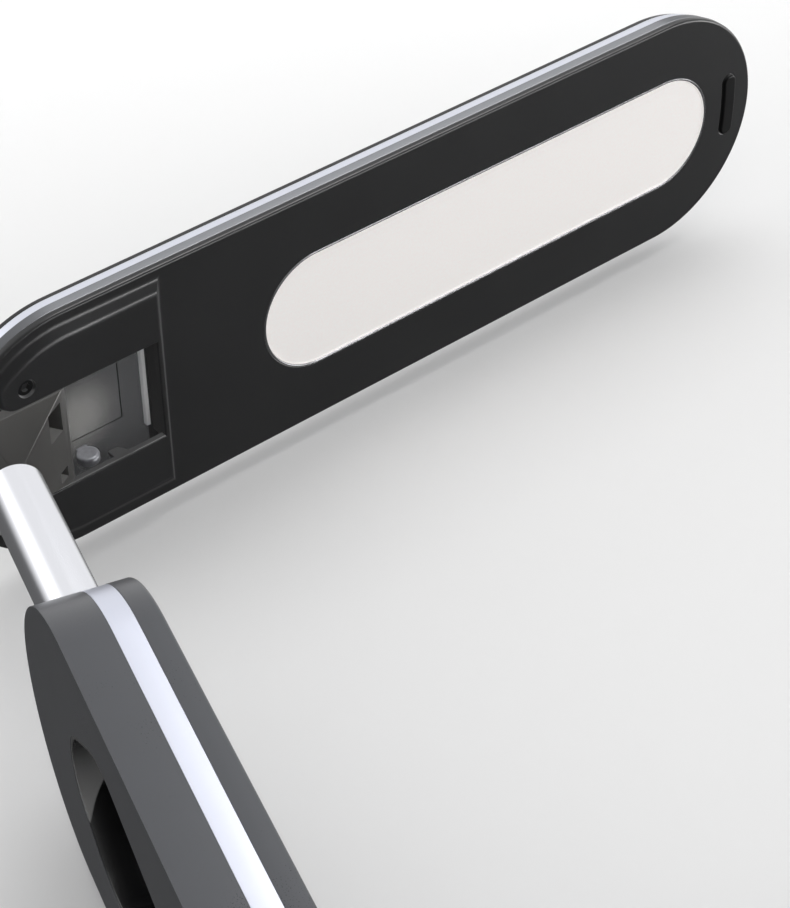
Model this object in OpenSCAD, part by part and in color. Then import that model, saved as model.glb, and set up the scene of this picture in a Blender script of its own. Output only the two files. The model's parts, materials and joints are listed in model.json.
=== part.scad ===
// Desk lamp with a wireless charger in its base.
// Millimetres. X points to the front, Y to the lamp's left, Z up.
// The origin is the centre of the base on the desk. The head is drawn in its own frame:
// its origin is the centre of the round tip, on the underside, and X runs from hinge to tip.

/* [Base] */
// Length of the base
base_l = 200; // [180:1:230]
// Width of the base
base_w = 112; // [100:1:130]
// Height of the lower shell
base_bottom_t = 7; // [6:0.5:10]
// Height of the silver band
base_band_t = 5; // [3:0.5:8]
// Height of the upper shell
base_top_t = 8.8; // [8:0.2:12]
// Wall of the base shells
base_wall = 2.5; // [2:0.1:3]
// Radius of the rounded rim of the base
base_rim_r = 1.6; // [0.8:0.1:2]
// Thickness of the grip pad under the base
pad_t = 1.2; // [0.8:0.1:2]
// Thickness of the steel ballast plate
ballast_t = 6; // [4:0.5:7]

/* [Charger] */
// Distance of the charging spot behind the front end of the base
charge_back = 72; // [69:1:78]
// Radius of the soft charging disc
charge_r = 31; // [27:0.5:33]
// Depth that the charging disc is let into the base
charge_inset = 0.9; // [0.6:0.1:1.2]
// Height of the charging disc above the base
disc_rise = 0.7; // [0.5:0.1:1]
// Height of the bright ring above the base
ring_rise = 0.2; // [0.1:0.05:0.4]
// Width of the bright ring
ring_w = 1.4; // [1:0.1:2]
// Outer radius of the charging coil
coil_r = 22; // [18:0.5:24]
// Inner radius of the charging coil
coil_hole_r = 9; // [7:0.5:12]
// Thickness of the coil and of the ferrite behind it
coil_t = 1.2; // [0.8:0.1:1.4]

/* [Base button] */
// Distance of the base button in front of the charging spot
button_gap = 50; // [46:0.5:54]
// Radius of the base button
button_r = 6.5; // [5:0.5:8]
// Height of the base button above the base
button_rise = 1.1; // [1:0.1:1.6]
// Travel of the base button
button_travel = 0.8; // [0.4:0.1:0.9]

/* [Stem] */
// Distance of the neck tube from the rear end of the base
stem_in = 38; // [36:0.5:42]
// Height of the stem above the base
stem_h = 235; // [225:1:250]
// Width of the stem
stem_w = 76.2; // [74:0.2:80]
// Thickness of the dark rear layer
stem_rear_t = 12.2; // [11:0.1:14]
// Thickness of the silver middle layer
stem_band_t = 6.1; // [4:0.1:8]
// Thickness of the dark front layer
stem_front_t = 6; // [5.6:0.1:8]
// Wall of the hollow rear layer
stem_wall = 2.4; // [1.6:0.1:3]
// Radius of the front edge of the stem
stem_edge_r = 0.8; // [0.4:0.1:1.5]

/* [Stem opening] */
// Depth of the opening's top below the top of the stem
slot_drop = 35.2; // [34:0.2:38]
// Radius at the top of the opening
slot_top_r = 14; // [12:0.5:16]
// Half width where the opening is widest
slot_mid_r = 21; // [18:0.5:23]
// Radius at the foot of the opening
slot_low_r = 7; // [5:0.5:10]
// Drop from the top circle to the widest one
slot_mid_drop = 13; // [10:0.5:16]
// Drop from the widest circle to the lowest one
slot_low_drop = 57; // [50:1:70]
// Thickness of the dark liner of the opening
liner_t = 1; // [0.6:0.1:1.6]

/* [Neck] */
// Outer diameter of the neck tube
tube_d = 16; // [15.6:0.1:16.6]
// Wall of the neck tube
tube_wall = 1; // [0.8:0.1:1.5]
// Length of tube that shows above the stem
tube_show = 61.1; // [50:0.5:75]
// Length of tube inside the stem
tube_in = 13; // [10:0.5:14]
// Diameter of the turned journal under the tube
journal_d = 9; // [8:0.2:10]
// Length of the journal in its bush
journal_l = 12; // [10:0.5:13]
// Wall of the swivel bush
bush_wall = 2; // [1.2:0.1:2.4]
// Bore for the wires
wire_bore = 4; // [3:0.2:4.4]

/* [Hinge] */
// Distance of the hinge pin in front of the tube axis
pivot_fwd = 16.7; // [15.5:0.1:18]
// Height of the hinge pin above the tube
pivot_up = 17.5; // [16.5:0.1:20]
// Height of the hinge pin above the underside of the head
pivot_depth = 1.9; // [1.7:0.1:2]
// Distance of the hinge pin from the rear end of the head
hinge_back = 33.6; // [33:0.2:36]
// Radius of the knuckle round the pin
knuckle_r = 3.7; // [3.2:0.1:3.8]
// Width of the neck bracket at the head
bracket_w = 31.2; // [28:0.2:31.6]
// Diameter of the hinge pin
pin_d = 3; // [2.5:0.1:3.4]
// Thickness of the ears that hold the pin
ear_t = 2.5; // [2:0.1:3]
// Thickness of the friction washers
washer_t = 0.6; // [0.4:0.1:0.6]

/* [Head] */
// Width of the head
head_w = 77.4; // [75:0.2:82]
// Length of the head
head_l = 294.8; // [280:1:310]
// Angle of the head above level
head_raise = 16.1; // [12:0.1:20]
// Thickness of the dark top cover
head_top_t = 1.5; // [1.2:0.1:2.5]
// Height of the silver frame
head_band_t = 5.2; // [5:0.1:7]
// Thickness of the dark lower shell
head_low_t = 2.1; // [1.8:0.1:2.6]
// Wall of the silver frame
head_wall = 2.2; // [1.5:0.1:3]
// Depth of the ridge along the frame
head_ridge = 0.25; // [0.1:0.05:0.4]
// Radius of the head's edges
head_edge_r = 0.5; // [0.3:0.1:0.9]

/* [Light] */
// Width of the light window
window_w = 37.2; // [34:0.2:40]
// Distance between the hinge cover and the light window
window_gap = 34.1; // [31:0.1:50]
// Width of the rim round the light window
trim_w = 0.6; // [0.4:0.1:1.2]
// Thickness of the reflector sheet
reflector_t = 0.3; // [0.2:0.1:0.5]
// Thickness of the light guide
guide_t = 2.4; // [2:0.1:2.8]
// How far the light guide reaches past the window
guide_lap = 3; // [2:0.2:4]
// Number of light chips on each strip
chip_n = 22; // [12:1:26]

/* [Head switch] */
// Distance of the switch from the tip centre
switch_x = 28.9; // [27.5:0.1:30]
// Length of the switch
switch_l = 21.5; // [18:0.5:23]
// Width of the switch
switch_w = 5; // [4:0.1:6]
// Bend radius of the switch
switch_bend = 110; // [80:5:160]
// Height of the switch above the underside
switch_rise = 0.9; // [0.8:0.1:1.4]
// Travel of the switch
switch_travel = 0.6; // [0.3:0.1:0.7]

/* [Hinge cover] */
// How far the hinge cover stands out of the underside
cover_rise = 2; // [1.5:0.1:2.5]
// Width of the cover's sloping edge
cover_slope = 3; // [1.5:0.1:4]
// Distance of the cover from the head's outline
cover_margin = 3.7; // [3.4:0.1:4.5]
// Distance from the pin to the front edge of the cover
cover_front = 35; // [33:0.5:37]
// Width of the opening in the cover
bay_w = 32.4; // [32.2:0.1:33]
// Distance of the cover screws behind the pin
screw_back = 8.7; // [8:0.1:9.5]
// Distance of the cover screws from the middle
screw_side = 21.6; // [21.4:0.1:23.4]
// Diameter of the cover screw heads
screw_head_d = 5; // [4:0.1:5.2]

/* [Clearances] */
// Running clearance round pins and journals
run_gap = 0.05; // [0.03:0.01:0.08]
// Clearance between parts that are fitted together
fit_gap = 0.1; // [0.05:0.05:0.15]
// Clearance round parts that move
move_gap = 0.3; // [0.3:0.05:0.4]

/* [Hidden] */
$fn = 64;
hull_fn = 32;
eps = 0.01;
dark = [0.18, 0.18, 0.19];
silver = [0.78, 0.80, 0.84];
steel = [0.55, 0.56, 0.58];
board_green = [0.10, 0.32, 0.20];

// Heights of the base, from the desk up
base_z1 = pad_t;
base_z2 = base_z1 + base_bottom_t;
base_z3 = base_z2 + base_band_t;
base_top = base_z3 + base_top_t;
floor_z = base_z1 + base_wall;
ballast_top = floor_z + ballast_t;
roof_z = base_top - base_wall;
base_run = base_l - base_w;
base_r = base_w / 2;
pad_margin = 5;
pad_sink = 0.6;
screw_r = 1.5;
base_screw_head_r = 3;
base_screw_head_t = 1;
screw_head_z = pad_t + pad_sink;
stem_screw_in = 14;
stem_screw_y = stem_w / 2 - stem_screw_in;
shell_screw_y = (stem_w / 2 + base_r - base_wall) / 2;
screw_bite = 8;

// Charger
charge_x = base_l / 2 - charge_back;
shell_bite = 6;
screw_end_gap = 0.5;
carrier_t = 1.2;
carrier_leg = 5;
carrier_x = 35;
carrier_y = 29;
coil_z = roof_z - coil_t;
ferrite_z = coil_z - coil_t;
carrier_z = ferrite_z - carrier_t;
board_l = 56;
board_w = 46;
board_t = 1.6;
post_h = 1.6;
post_r = 2.2;
post_edge = 4;
board_z = ballast_top + post_h;
part_h = 1.2;
board_part_w = 7;
board_part_gap = 4;
ferrite_lap = 1.5;
inlet_w = 9;
inlet_h = 3.2;
inlet_l = 7.4;
inlet_wall = 0.3;
inlet_tongue = 0.7;
inlet_sink = 0.6;
inlet_slit = 1.8;
inlet_back_t = 0.4;
inlet_board_gap = 1.2;
inlet_board_l = 13;
inlet_board_w = 15;
inlet_board_z = (base_z3 + roof_z) / 2 - inlet_h / 2 - board_t;
inlet_x = inlet_board_l + base_wall + inlet_board_gap - base_l / 2;

// Base button
button_x = charge_x + button_gap;
button_flange = 0.9;
button_flange_t = 1;
button_edge_r = 0.6;
button_switch_r = 3;
button_board_w = 14;
lens_gap = 3;
lens_r = 1;
lens_x = charge_x + charge_r + ring_w + lens_gap;

// Stem
stem_t = stem_rear_t + stem_band_t + stem_front_t;
tube_x = stem_in - base_l / 2;
stem_x0 = tube_x - stem_rear_t - stem_band_t / 2;
stem_x1 = stem_x0 + stem_rear_t;
stem_x2 = stem_x1 + stem_band_t;
stem_top = base_top + stem_h;
stem_r = stem_w / 2;
slot_top_z = stem_top - slot_drop - slot_top_r;
slot_mid_z = slot_top_z - slot_mid_drop;
slot_low_z = slot_mid_z - slot_low_drop;
dowel_r = 1.5;
dowel_in = 4;
dowel_edge = 7.5;
dowel_wall = 2;
dowel_low = 30;
dowel_y = stem_r - dowel_edge;
dowel_z = [base_top + dowel_low, slot_low_z, stem_top - stem_r];
foot_block = 4;

// Neck
tube_r = tube_d / 2;
tube_bore_r = tube_r - tube_wall;
tube_low = stem_top - tube_in;
tube_top = stem_top + tube_show;
journal_r = journal_d / 2;
bush_low = tube_low - move_gap - journal_l;
clip_t = 1;
clip_gap = 0.3;
clip_w = 1.4;
clip_groove = 0.6;
journal_tip = 0.8;
clip_r = journal_r + clip_w;
journal_low = bush_low - clip_gap - clip_t - journal_tip;
plug_l = 12;
spigot_l = 14;
foot_rim_t = 0.4;

// Head frame and hinge pin
head_run = head_l - head_w;
head_r = head_w / 2;
pivot_x = tube_x + pivot_fwd;
pivot_z = tube_top + pivot_up;
pin_lx = hinge_back - head_run - head_r;
head_z1 = head_low_t;
head_z2 = head_z1 + head_band_t;
ear_in = bracket_w / 2 + move_gap + washer_t + fit_gap / 2;
ear_out = ear_in + ear_t;
ear_wall = 1.5;
ear_r = pin_d / 2 + ear_wall;
leaf_t = 1.2;
leaf_z = head_z2 - leaf_t;
leaf_gap = 0.4;
leaf_edge = 4.5;
leaf_front = pin_lx + cover_front - cover_slope - leaf_gap;
leaf_back = pin_lx - screw_back - leaf_edge;
lip_l = 1.2;
lip_h = 1.5;
bay_half = bay_w / 2;
bay_wall_t = 1.2;
bay_under = 3.6;
bay_lip_t = 2.2;
rib_h = 3.1;
rib_fwd = 16;
rib_l = 3;
bay_wall_gap = 0.2;
flap_t = 0.35;
flap_l = 18;
flap_y = 9.4;
flap_back = 7.3;
barrel_r = 3.3;
barrel_l = 3;
barrel_fwd = 9.5;
barrel_x = pin_lx + barrel_fwd;
boss_r = 3;
screw_thread_r = 1.2;
screw_head_rise = 1.2;
screw_head_t = 2;
socket_d = 2.4;
cover_x = pin_lx + cover_front;
arm_end = 18;

// Light
window_r = window_w / 2;
window_run = -cover_x - window_gap - window_r;
diffuser_in = 0.1;
trim_rise = 0.1;
guide_r = window_r + guide_lap;
guide_z = head_z1;
reflector_z = guide_z + guide_t;
spreader_z = reflector_z + reflector_t;
chip_t = 0.9;
chip_w = 3;
chip_short = 0.6;
strip_t = 1;
strip_y = guide_r + fit_gap + chip_t;
spreader_r = strip_y + strip_t;
head_board_gap = 4.5;
head_board_l = window_gap + window_r - spreader_r - 2 * head_board_gap;
head_board_w = 36;
head_part_w = 6;
head_part_pitch = 10;
switch_inner = 1;
switch_end_z = head_z1 + move_gap + switch_inner;
switch_lip = 0.8;
tact_w = 4;
switch_board_l = 9;

// A flat stadium with its middle at the origin
module pill2d(run, r) {
    translate([-run / 2, 0]) circle(r);
    translate([run / 2, 0]) circle(r);
    square([run, 2 * r], center = true);
}

module pill(run, r, h) {
    linear_extrude(h) pill2d(run, r);
}

// The child is a half section; it is swept along a stadium
module swept_pill(run) {
    translate([run / 2, 0, 0]) rotate([0, 0, -90]) rotate_extrude(angle = 180) children();
    translate([-run / 2, 0, 0]) rotate([0, 0, 90]) rotate_extrude(angle = 180) children();
    rotate([90, 0, 90]) linear_extrude(run, center = true) {
        children();
        mirror([1, 0]) children();
    }
}

// Half section of a plate with its upper edge rounded
module rounded_section(r, h, edge) {
    square([r - edge, h]);
    square([r, h - edge]);
    translate([r - edge, h - edge]) circle(edge);
}

// Places a child drawn in the head's own frame
module in_head() {
    translate([pivot_x, 0, pivot_z]) rotate([0, -head_raise, 0])
        translate([-pin_lx, 0, -pivot_depth]) children();
}

// Places a child about the middle of the head's outline
module on_head(z) {
    translate([-head_run / 2, 0, z]) children();
}

// Stands a flat shape up across the lamp: its x becomes Y and its y becomes Z
module across(x, t) {
    translate([x, 0, 0]) rotate([90, 0, 90]) linear_extrude(t) children();
}

// Outline of the stem from its foot to its round top
module stem2d(inset, low) {
    top_z = stem_top - stem_r;
    translate([0, top_z]) circle(stem_r - inset);
    translate([inset - stem_r, low]) square([stem_w - 2 * inset, top_z - low]);
}

// Straight flanks that touch two circles on the same upright axis
module flanks2d(low_z, low_r, high_z, high_r) {
    a = asin((low_r - high_r) / (high_z - low_z));
    polygon([[low_r * cos(a), low_z + low_r * sin(a)],
        [high_r * cos(a), high_z + high_r * sin(a)],
        [-high_r * cos(a), high_z + high_r * sin(a)],
        [-low_r * cos(a), low_z + low_r * sin(a)]]);
}

// The drop-shaped opening through the stem
module slot2d(grow) {
    translate([0, slot_top_z]) circle(slot_top_r + grow);
    translate([0, slot_mid_z]) circle(slot_mid_r + grow);
    translate([0, slot_low_z]) circle(slot_low_r + grow);
    flanks2d(slot_mid_z, slot_mid_r + grow, slot_top_z, slot_top_r + grow);
    flanks2d(slot_low_z, slot_low_r + grow, slot_mid_z, slot_mid_r + grow);
}

// Everything that the neck and its bush need out of the stem
module neck_cut() {
    translate([tube_x, 0, tube_low - move_gap])
        cylinder(r = tube_r + move_gap, h = tube_in + stem_r);
    translate([tube_x, 0, bush_low]) cylinder(r = journal_r + bush_wall, h = journal_l + 1);
    translate([tube_x, 0, journal_low - move_gap])
        cylinder(r = clip_r + move_gap, h = bush_low - journal_low + 2 * move_gap);
}

module dowel_holes() {
    for (z = dowel_z, side = [-1, 1])
        translate([stem_x1 - dowel_in, side * dowel_y, z]) rotate([0, 90, 0])
            cylinder(r = dowel_r, h = stem_band_t + 2 * dowel_in - 1);
}

module stem_screw_at() {
    for (side = [-1, 1])
        translate([tube_x, side * stem_screw_y, 0]) children();
}

module shell_screw_at() {
    for (x = [-base_run / 2, base_run / 2], side = [-1, 1])
        translate([x, side * shell_screw_y, 0]) children();
}

// Holes for the screws that come up through the floor
module floor_screw_cuts() {
    cylinder(r = base_screw_head_r + fit_gap, h = screw_head_z + base_screw_head_t);
    cylinder(r = screw_r + fit_gap, h = ballast_top + eps);
}

module grip_pad() {
    color([0.09, 0.09, 0.1])
        pill(base_run, base_r - pad_margin, pad_t + pad_sink);
}

module base_bottom_shell() {
    color(dark) difference() {
        translate([0, 0, base_z2]) mirror([0, 0, 1]) swept_pill(base_run)
            rounded_section(base_r, base_bottom_t, base_rim_r);
        translate([0, 0, floor_z])
            pill(base_run, base_r - base_wall, base_bottom_t);
        translate([0, 0, -eps])
            pill(base_run, base_r - pad_margin + fit_gap, pad_t + pad_sink + eps);
        stem_screw_at() floor_screw_cuts();
        shell_screw_at() floor_screw_cuts();
    }
}

module base_band() {
    color(silver) translate([0, 0, base_z2]) difference() {
        pill(base_run, base_r, base_band_t);
        translate([0, 0, -1]) pill(base_run, base_r - base_wall, base_band_t + 2);
    }
}

module base_top_shell() {
    inner_r = base_r - base_wall;
    color(dark) difference() {
        union() {
            difference() {
                translate([0, 0, base_z3]) swept_pill(base_run)
                    rounded_section(base_r, base_top_t, base_rim_r);
                translate([0, 0, base_z3 - 1]) pill(base_run, inner_r, roof_z - base_z3 + 1);
            }
            shell_screw_at() translate([0, 0, ballast_top])
                cylinder(r = boss_r, h = roof_z - ballast_top + eps);
        }
        shell_screw_at() translate([0, 0, ballast_top - 1])
            cylinder(r = screw_r, h = shell_bite + 1);
        translate([charge_x, 0, base_top - charge_inset])
            cylinder(r = charge_r + ring_w + fit_gap, h = base_wall);
        translate([button_x, 0, roof_z - 1])
            cylinder(r = button_r + move_gap, h = base_wall + 2);
        translate([lens_x, 0, roof_z - 1]) cylinder(r = lens_r + fit_gap, h = base_wall + 2);
        translate([stem_x0 - fit_gap, -stem_r - fit_gap, roof_z - 1])
            cube([stem_t + 2 * fit_gap, stem_w + 2 * fit_gap, base_wall + 2]);
        translate([-base_l / 2 - 1, 0, inlet_board_z + board_t]) inlet_block(fit_gap, base_wall + 5);
    }
}

module ballast_plate() {
    color(steel) difference() {
        translate([0, 0, floor_z])
            pill(base_run, base_r - base_wall - fit_gap, ballast_t);
        stem_screw_at() cylinder(r = screw_r + fit_gap, h = ballast_top + 1);
        shell_screw_at() cylinder(r = screw_r + fit_gap, h = ballast_top + 1);
    }
}

module charging_disc() {
    color([0.13, 0.13, 0.14]) translate([charge_x, 0, base_top - charge_inset])
        rotate_extrude()
            rounded_section(charge_r, charge_inset + disc_rise, disc_rise / 2);
}

module charge_ring() {
    color(silver) translate([charge_x, 0, base_top - charge_inset]) difference() {
        cylinder(r = charge_r + ring_w, h = charge_inset + ring_rise);
        translate([0, 0, -1]) cylinder(r = charge_r + fit_gap / 2, h = charge_inset + 2);
    }
}

module charging_coil() {
    color([0.72, 0.42, 0.2]) translate([charge_x, 0, coil_z]) difference() {
        cylinder(r = coil_r, h = coil_t);
        translate([0, 0, -1]) cylinder(r = coil_hole_r, h = coil_t + 2);
    }
}

module ferrite_plate() {
    color([0.25, 0.25, 0.26]) translate([charge_x, 0, ferrite_z])
        cylinder(r = coil_r + ferrite_lap, h = coil_t);
}

module coil_carrier() {
    color([0.85, 0.85, 0.83]) translate([charge_x, 0, 0]) {
        translate([-carrier_x, -carrier_y, carrier_z])
            cube([2 * carrier_x, 2 * carrier_y, carrier_t]);
        for (sx = [-1, 1], sy = [-1, 1])
            translate([sx * (carrier_x - carrier_leg / 2), sy * (carrier_y - carrier_leg / 2),
                (ballast_top + carrier_z) / 2])
                cube([carrier_leg, carrier_leg, carrier_z - ballast_top], center = true);
    }
}

module charger_board() {
    color(board_green) translate([charge_x - board_l / 2, -board_w / 2, board_z])
        cube([board_l, board_w, board_t]);
    color([0.15, 0.15, 0.16]) for (k = [0:3])
        translate([charge_x - board_part_w / 2 + (k - 1.5) * (board_part_w + board_part_gap),
            (k % 2 - 1) * (board_part_w + board_part_gap), board_z + board_t])
            cube([board_part_w, board_part_w, part_h]);
}

module board_posts() {
    color(steel) for (sx = [-1, 1], sy = [-1, 1])
        translate([charge_x + sx * (board_l / 2 - post_edge), sy * (board_w / 2 - post_edge),
            ballast_top])
            cylinder(r = post_r, h = post_h);
    color(steel) for (side = [-1, 1])
        translate([inlet_x - inlet_board_l / 2, side * (inlet_board_w / 2 - post_r),
            ballast_top])
            cylinder(r = post_r, h = inlet_board_z - ballast_top);
}

// The flat oblong body of the power inlet, lying along X on its board
module inlet_block(grow, l) {
    h = inlet_h + 2 * grow;
    run = inlet_w - inlet_h;
    translate([0, 0, inlet_h / 2]) rotate([90, 0, 90]) linear_extrude(l) pill2d(run, h / 2);
}

module power_inlet() {
    color(silver) translate([inlet_sink - base_l / 2, 0, inlet_board_z + board_t]) {
        difference() {
            inlet_block(0, inlet_l);
            translate([-1, 0, 0]) inlet_block(-inlet_wall, inlet_l);
        }
        translate([2 * inlet_back_t, inlet_slit - inlet_w / 2, (inlet_h - inlet_tongue) / 2])
            cube([inlet_l - 3 * inlet_back_t, inlet_w - 2 * inlet_slit, inlet_tongue]);
    }
}

module inlet_board() {
    color(board_green)
        translate([inlet_x - inlet_board_l, -inlet_board_w / 2, inlet_board_z])
            cube([inlet_board_l, inlet_board_w, board_t]);
}

module base_screw(bite) {
    translate([0, 0, screw_head_z]) {
        cylinder(r = base_screw_head_r, h = base_screw_head_t);
        cylinder(r = screw_r - run_gap, h = ballast_top - screw_head_z + bite);
    }
}

module base_screws() {
    color(steel) {
        stem_screw_at() base_screw(screw_bite - screw_end_gap);
        shell_screw_at() base_screw(shell_bite - screw_end_gap);
    }
}

module base_button() {
    flange_z = roof_z - move_gap - button_flange_t;
    color([0.24, 0.24, 0.25]) translate([button_x, 0, 0]) {
        translate([0, 0, flange_z]) cylinder(r = button_r + button_flange, h = button_flange_t);
        translate([0, 0, flange_z]) rotate_extrude()
            rounded_section(button_r, base_top + button_rise - flange_z, button_edge_r);
    }
}

module button_switch() {
    body_top = roof_z - move_gap - button_flange_t - button_travel - move_gap;
    color([0.1, 0.1, 0.11]) translate([button_x, 0, ballast_top])
        cylinder(r = button_switch_r, h = body_top - ballast_top);
    color(board_green) translate([button_x, 0, ballast_top]) difference() {
        translate([-button_board_w / 2, -button_board_w / 2, 0])
            cube([button_board_w, button_board_w, board_t]);
        translate([0, 0, -1]) cylinder(r = button_switch_r, h = board_t + 2);
    }
}

module status_lens() {
    color([0.9, 0.93, 0.95]) translate([lens_x, 0, roof_z])
        cylinder(r = lens_r, h = base_wall);
}

module stem_rear_shell() {
    color(dark) difference() {
        across(stem_x0, stem_rear_t) difference() {
            stem2d(0, ballast_top);
            slot2d(liner_t + fit_gap);
        }
        across(stem_x0 + stem_wall, stem_rear_t) difference() {
            stem2d(stem_wall, ballast_top + screw_bite + foot_block);
            slot2d(liner_t + fit_gap + stem_wall);
            translate([-stem_r, slot_top_z]) square([stem_w, stem_w]);
            for (z = dowel_z, side = [-1, 1])
                translate([side * dowel_y, z]) circle(dowel_r + dowel_wall);
        }
        neck_cut();
        dowel_holes();
        stem_screw_cuts();
    }
}

module stem_screw_cuts() {
    stem_screw_at() translate([0, 0, ballast_top - 1])
        cylinder(r = screw_r, h = screw_bite + 1);
}

module stem_band() {
    color(silver) difference() {
        across(stem_x1, stem_band_t) difference() {
            stem2d(0, ballast_top);
            slot2d(liner_t + fit_gap);
        }
        neck_cut();
        dowel_holes();
        stem_screw_cuts();
    }
}

module stem_front_shell() {
    top_z = stem_top - stem_r;
    color(dark) difference() {
        union() {
            across(stem_x2, stem_front_t - stem_edge_r) stem2d(0, ballast_top);
            across(stem_x2 + eps, stem_front_t - eps) stem2d(stem_edge_r, ballast_top);
            translate([stem_x2 + stem_front_t - stem_edge_r, 0, top_z]) rotate([0, 90, 0])
                rotate_extrude() translate([stem_r - stem_edge_r, 0]) circle(stem_edge_r);
            for (side = [-1, 1])
                translate([stem_x2 + stem_front_t - stem_edge_r,
                    side * (stem_r - stem_edge_r), ballast_top])
                    cylinder(r = stem_edge_r, h = top_z - ballast_top);
        }
        across(stem_x2 - 1, stem_front_t + 2) slot2d(liner_t + fit_gap);
        neck_cut();
        dowel_holes();
        stem_screw_cuts();
    }
}

module opening_liner() {
    color([0.05, 0.05, 0.055]) across(stem_x0, stem_t) difference() {
        slot2d(liner_t);
        slot2d(0);
    }
}

module stem_dowels() {
    color(steel) for (z = dowel_z, side = [-1, 1])
        translate([stem_x1 - dowel_in, side * dowel_y, z]) rotate([0, 90, 0])
            cylinder(r = dowel_r - run_gap, h = stem_band_t + 2 * dowel_in - 1 - 2 * fit_gap);
}

module swivel_bush() {
    color([0.85, 0.8, 0.65]) translate([tube_x, 0, bush_low]) difference() {
        cylinder(r = journal_r + bush_wall - run_gap, h = journal_l);
        translate([0, 0, -1]) cylinder(r = journal_r + run_gap, h = journal_l + 2);
    }
}

module bush_clip() {
    color(steel) translate([tube_x, 0, bush_low - clip_gap - clip_t]) difference() {
        cylinder(r = clip_r, h = clip_t);
        translate([0, 0, -1]) cylinder(r = journal_r - clip_groove, h = clip_t + 2);
    }
}

module swivel_spindle() {
    groove_z = bush_low - clip_gap - clip_t;
    color(steel) translate([tube_x, 0, 0]) difference() {
        union() {
            translate([0, 0, journal_low]) cylinder(r = journal_r, h = tube_low - journal_low);
            translate([0, 0, tube_low]) cylinder(r = tube_bore_r - fit_gap / 2, h = plug_l);
        }
        translate([0, 0, journal_low - 1])
            cylinder(d = wire_bore, h = tube_low + plug_l - journal_low + 2);
        translate([0, 0, groove_z]) difference() {
            cylinder(r = journal_r + 1, h = clip_t);
            cylinder(r = journal_r - clip_groove, h = clip_t);
        }
    }
}

module neck_tube() {
    color([0.86, 0.87, 0.9]) translate([tube_x, 0, tube_low]) difference() {
        cylinder(r = tube_r, h = tube_top - tube_low);
        translate([0, 0, -1]) cylinder(r = tube_bore_r, h = tube_top - tube_low + 2);
    }
}

// The flared casting that carries the hinge pin on top of the tube
module neck_bracket() {
    nose = 4;
    rear_x = 21.3;
    rear_drop = 9.4;
    slope = atan2(pivot_x + knuckle_r - tube_x - nose, pivot_up);
    pocket_z = 13;
    pocket_l = 6.4;
    pocket_w = 9.4;
    pocket_t = 5;
    cheek_t = 3;
    slit_z = 15.7;
    slit_w = 3.6;
    slit_t = 3;
    rear_w = 2;
    rear_t = 0.5;
    color([0.32, 0.32, 0.33]) difference() {
        union() {
            hull() {
                translate([tube_x, 0, tube_top])
                    cylinder(r = tube_r - fit_gap, h = foot_rim_t, $fn = hull_fn);
                translate([tube_x, fit_gap - tube_r, tube_top])
                    cube([nose, 2 * (tube_r - fit_gap), foot_rim_t]);
                translate([pivot_x, bracket_w / 2, pivot_z]) rotate([90, 0, 0])
                    cylinder(r = knuckle_r, h = bracket_w, $fn = hull_fn);
                translate([pivot_x - rear_x, -bracket_w / 2, pivot_z - rear_drop])
                    cube([rear_w, bracket_w, rear_t]);
            }
            translate([pivot_x, bracket_w / 2, pivot_z]) rotate([90, 0, 0])
                cylinder(r = knuckle_r, h = bracket_w);
            translate([tube_x, 0, tube_top - spigot_l])
                cylinder(r = tube_bore_r - fit_gap / 2, h = spigot_l + 1);
        }
        translate([pivot_x, bracket_w / 2 + 1, pivot_z]) rotate([90, 0, 0])
            cylinder(r = pin_d / 2 + run_gap, h = bracket_w + 2);
        translate([tube_x, 0, tube_top - spigot_l - 1])
            cylinder(d = wire_bore, h = spigot_l + pivot_up + 4);
        translate([tube_x + nose, 0, tube_top]) rotate([0, slope, 0]) {
            translate([-pocket_t, cheek_t - bracket_w / 2, pocket_z])
                cube([2 * pocket_t, pocket_w, pocket_l]);
            translate([-slit_t, bracket_w / 2 - cheek_t - slit_w, slit_z])
                cube([2 * slit_t, slit_w, pocket_z + pocket_l - slit_z]);
        }
    }
}

module hinge_pin() {
    color(steel) in_head() translate([pin_lx, ear_out, pivot_depth]) rotate([90, 0, 0])
        cylinder(r = pin_d / 2, h = 2 * ear_out);
}

module hinge_washers() {
    color([0.75, 0.72, 0.62]) in_head() for (side = [-1, 1])
        translate([pin_lx, side * (ear_in - fit_gap / 2 - washer_t / 2), pivot_depth])
            rotate([90, 0, 0]) difference() {
                cylinder(r = ear_r, h = washer_t, center = true);
                cylinder(r = pin_d / 2 + run_gap, h = washer_t + 1, center = true);
            }
}

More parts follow.
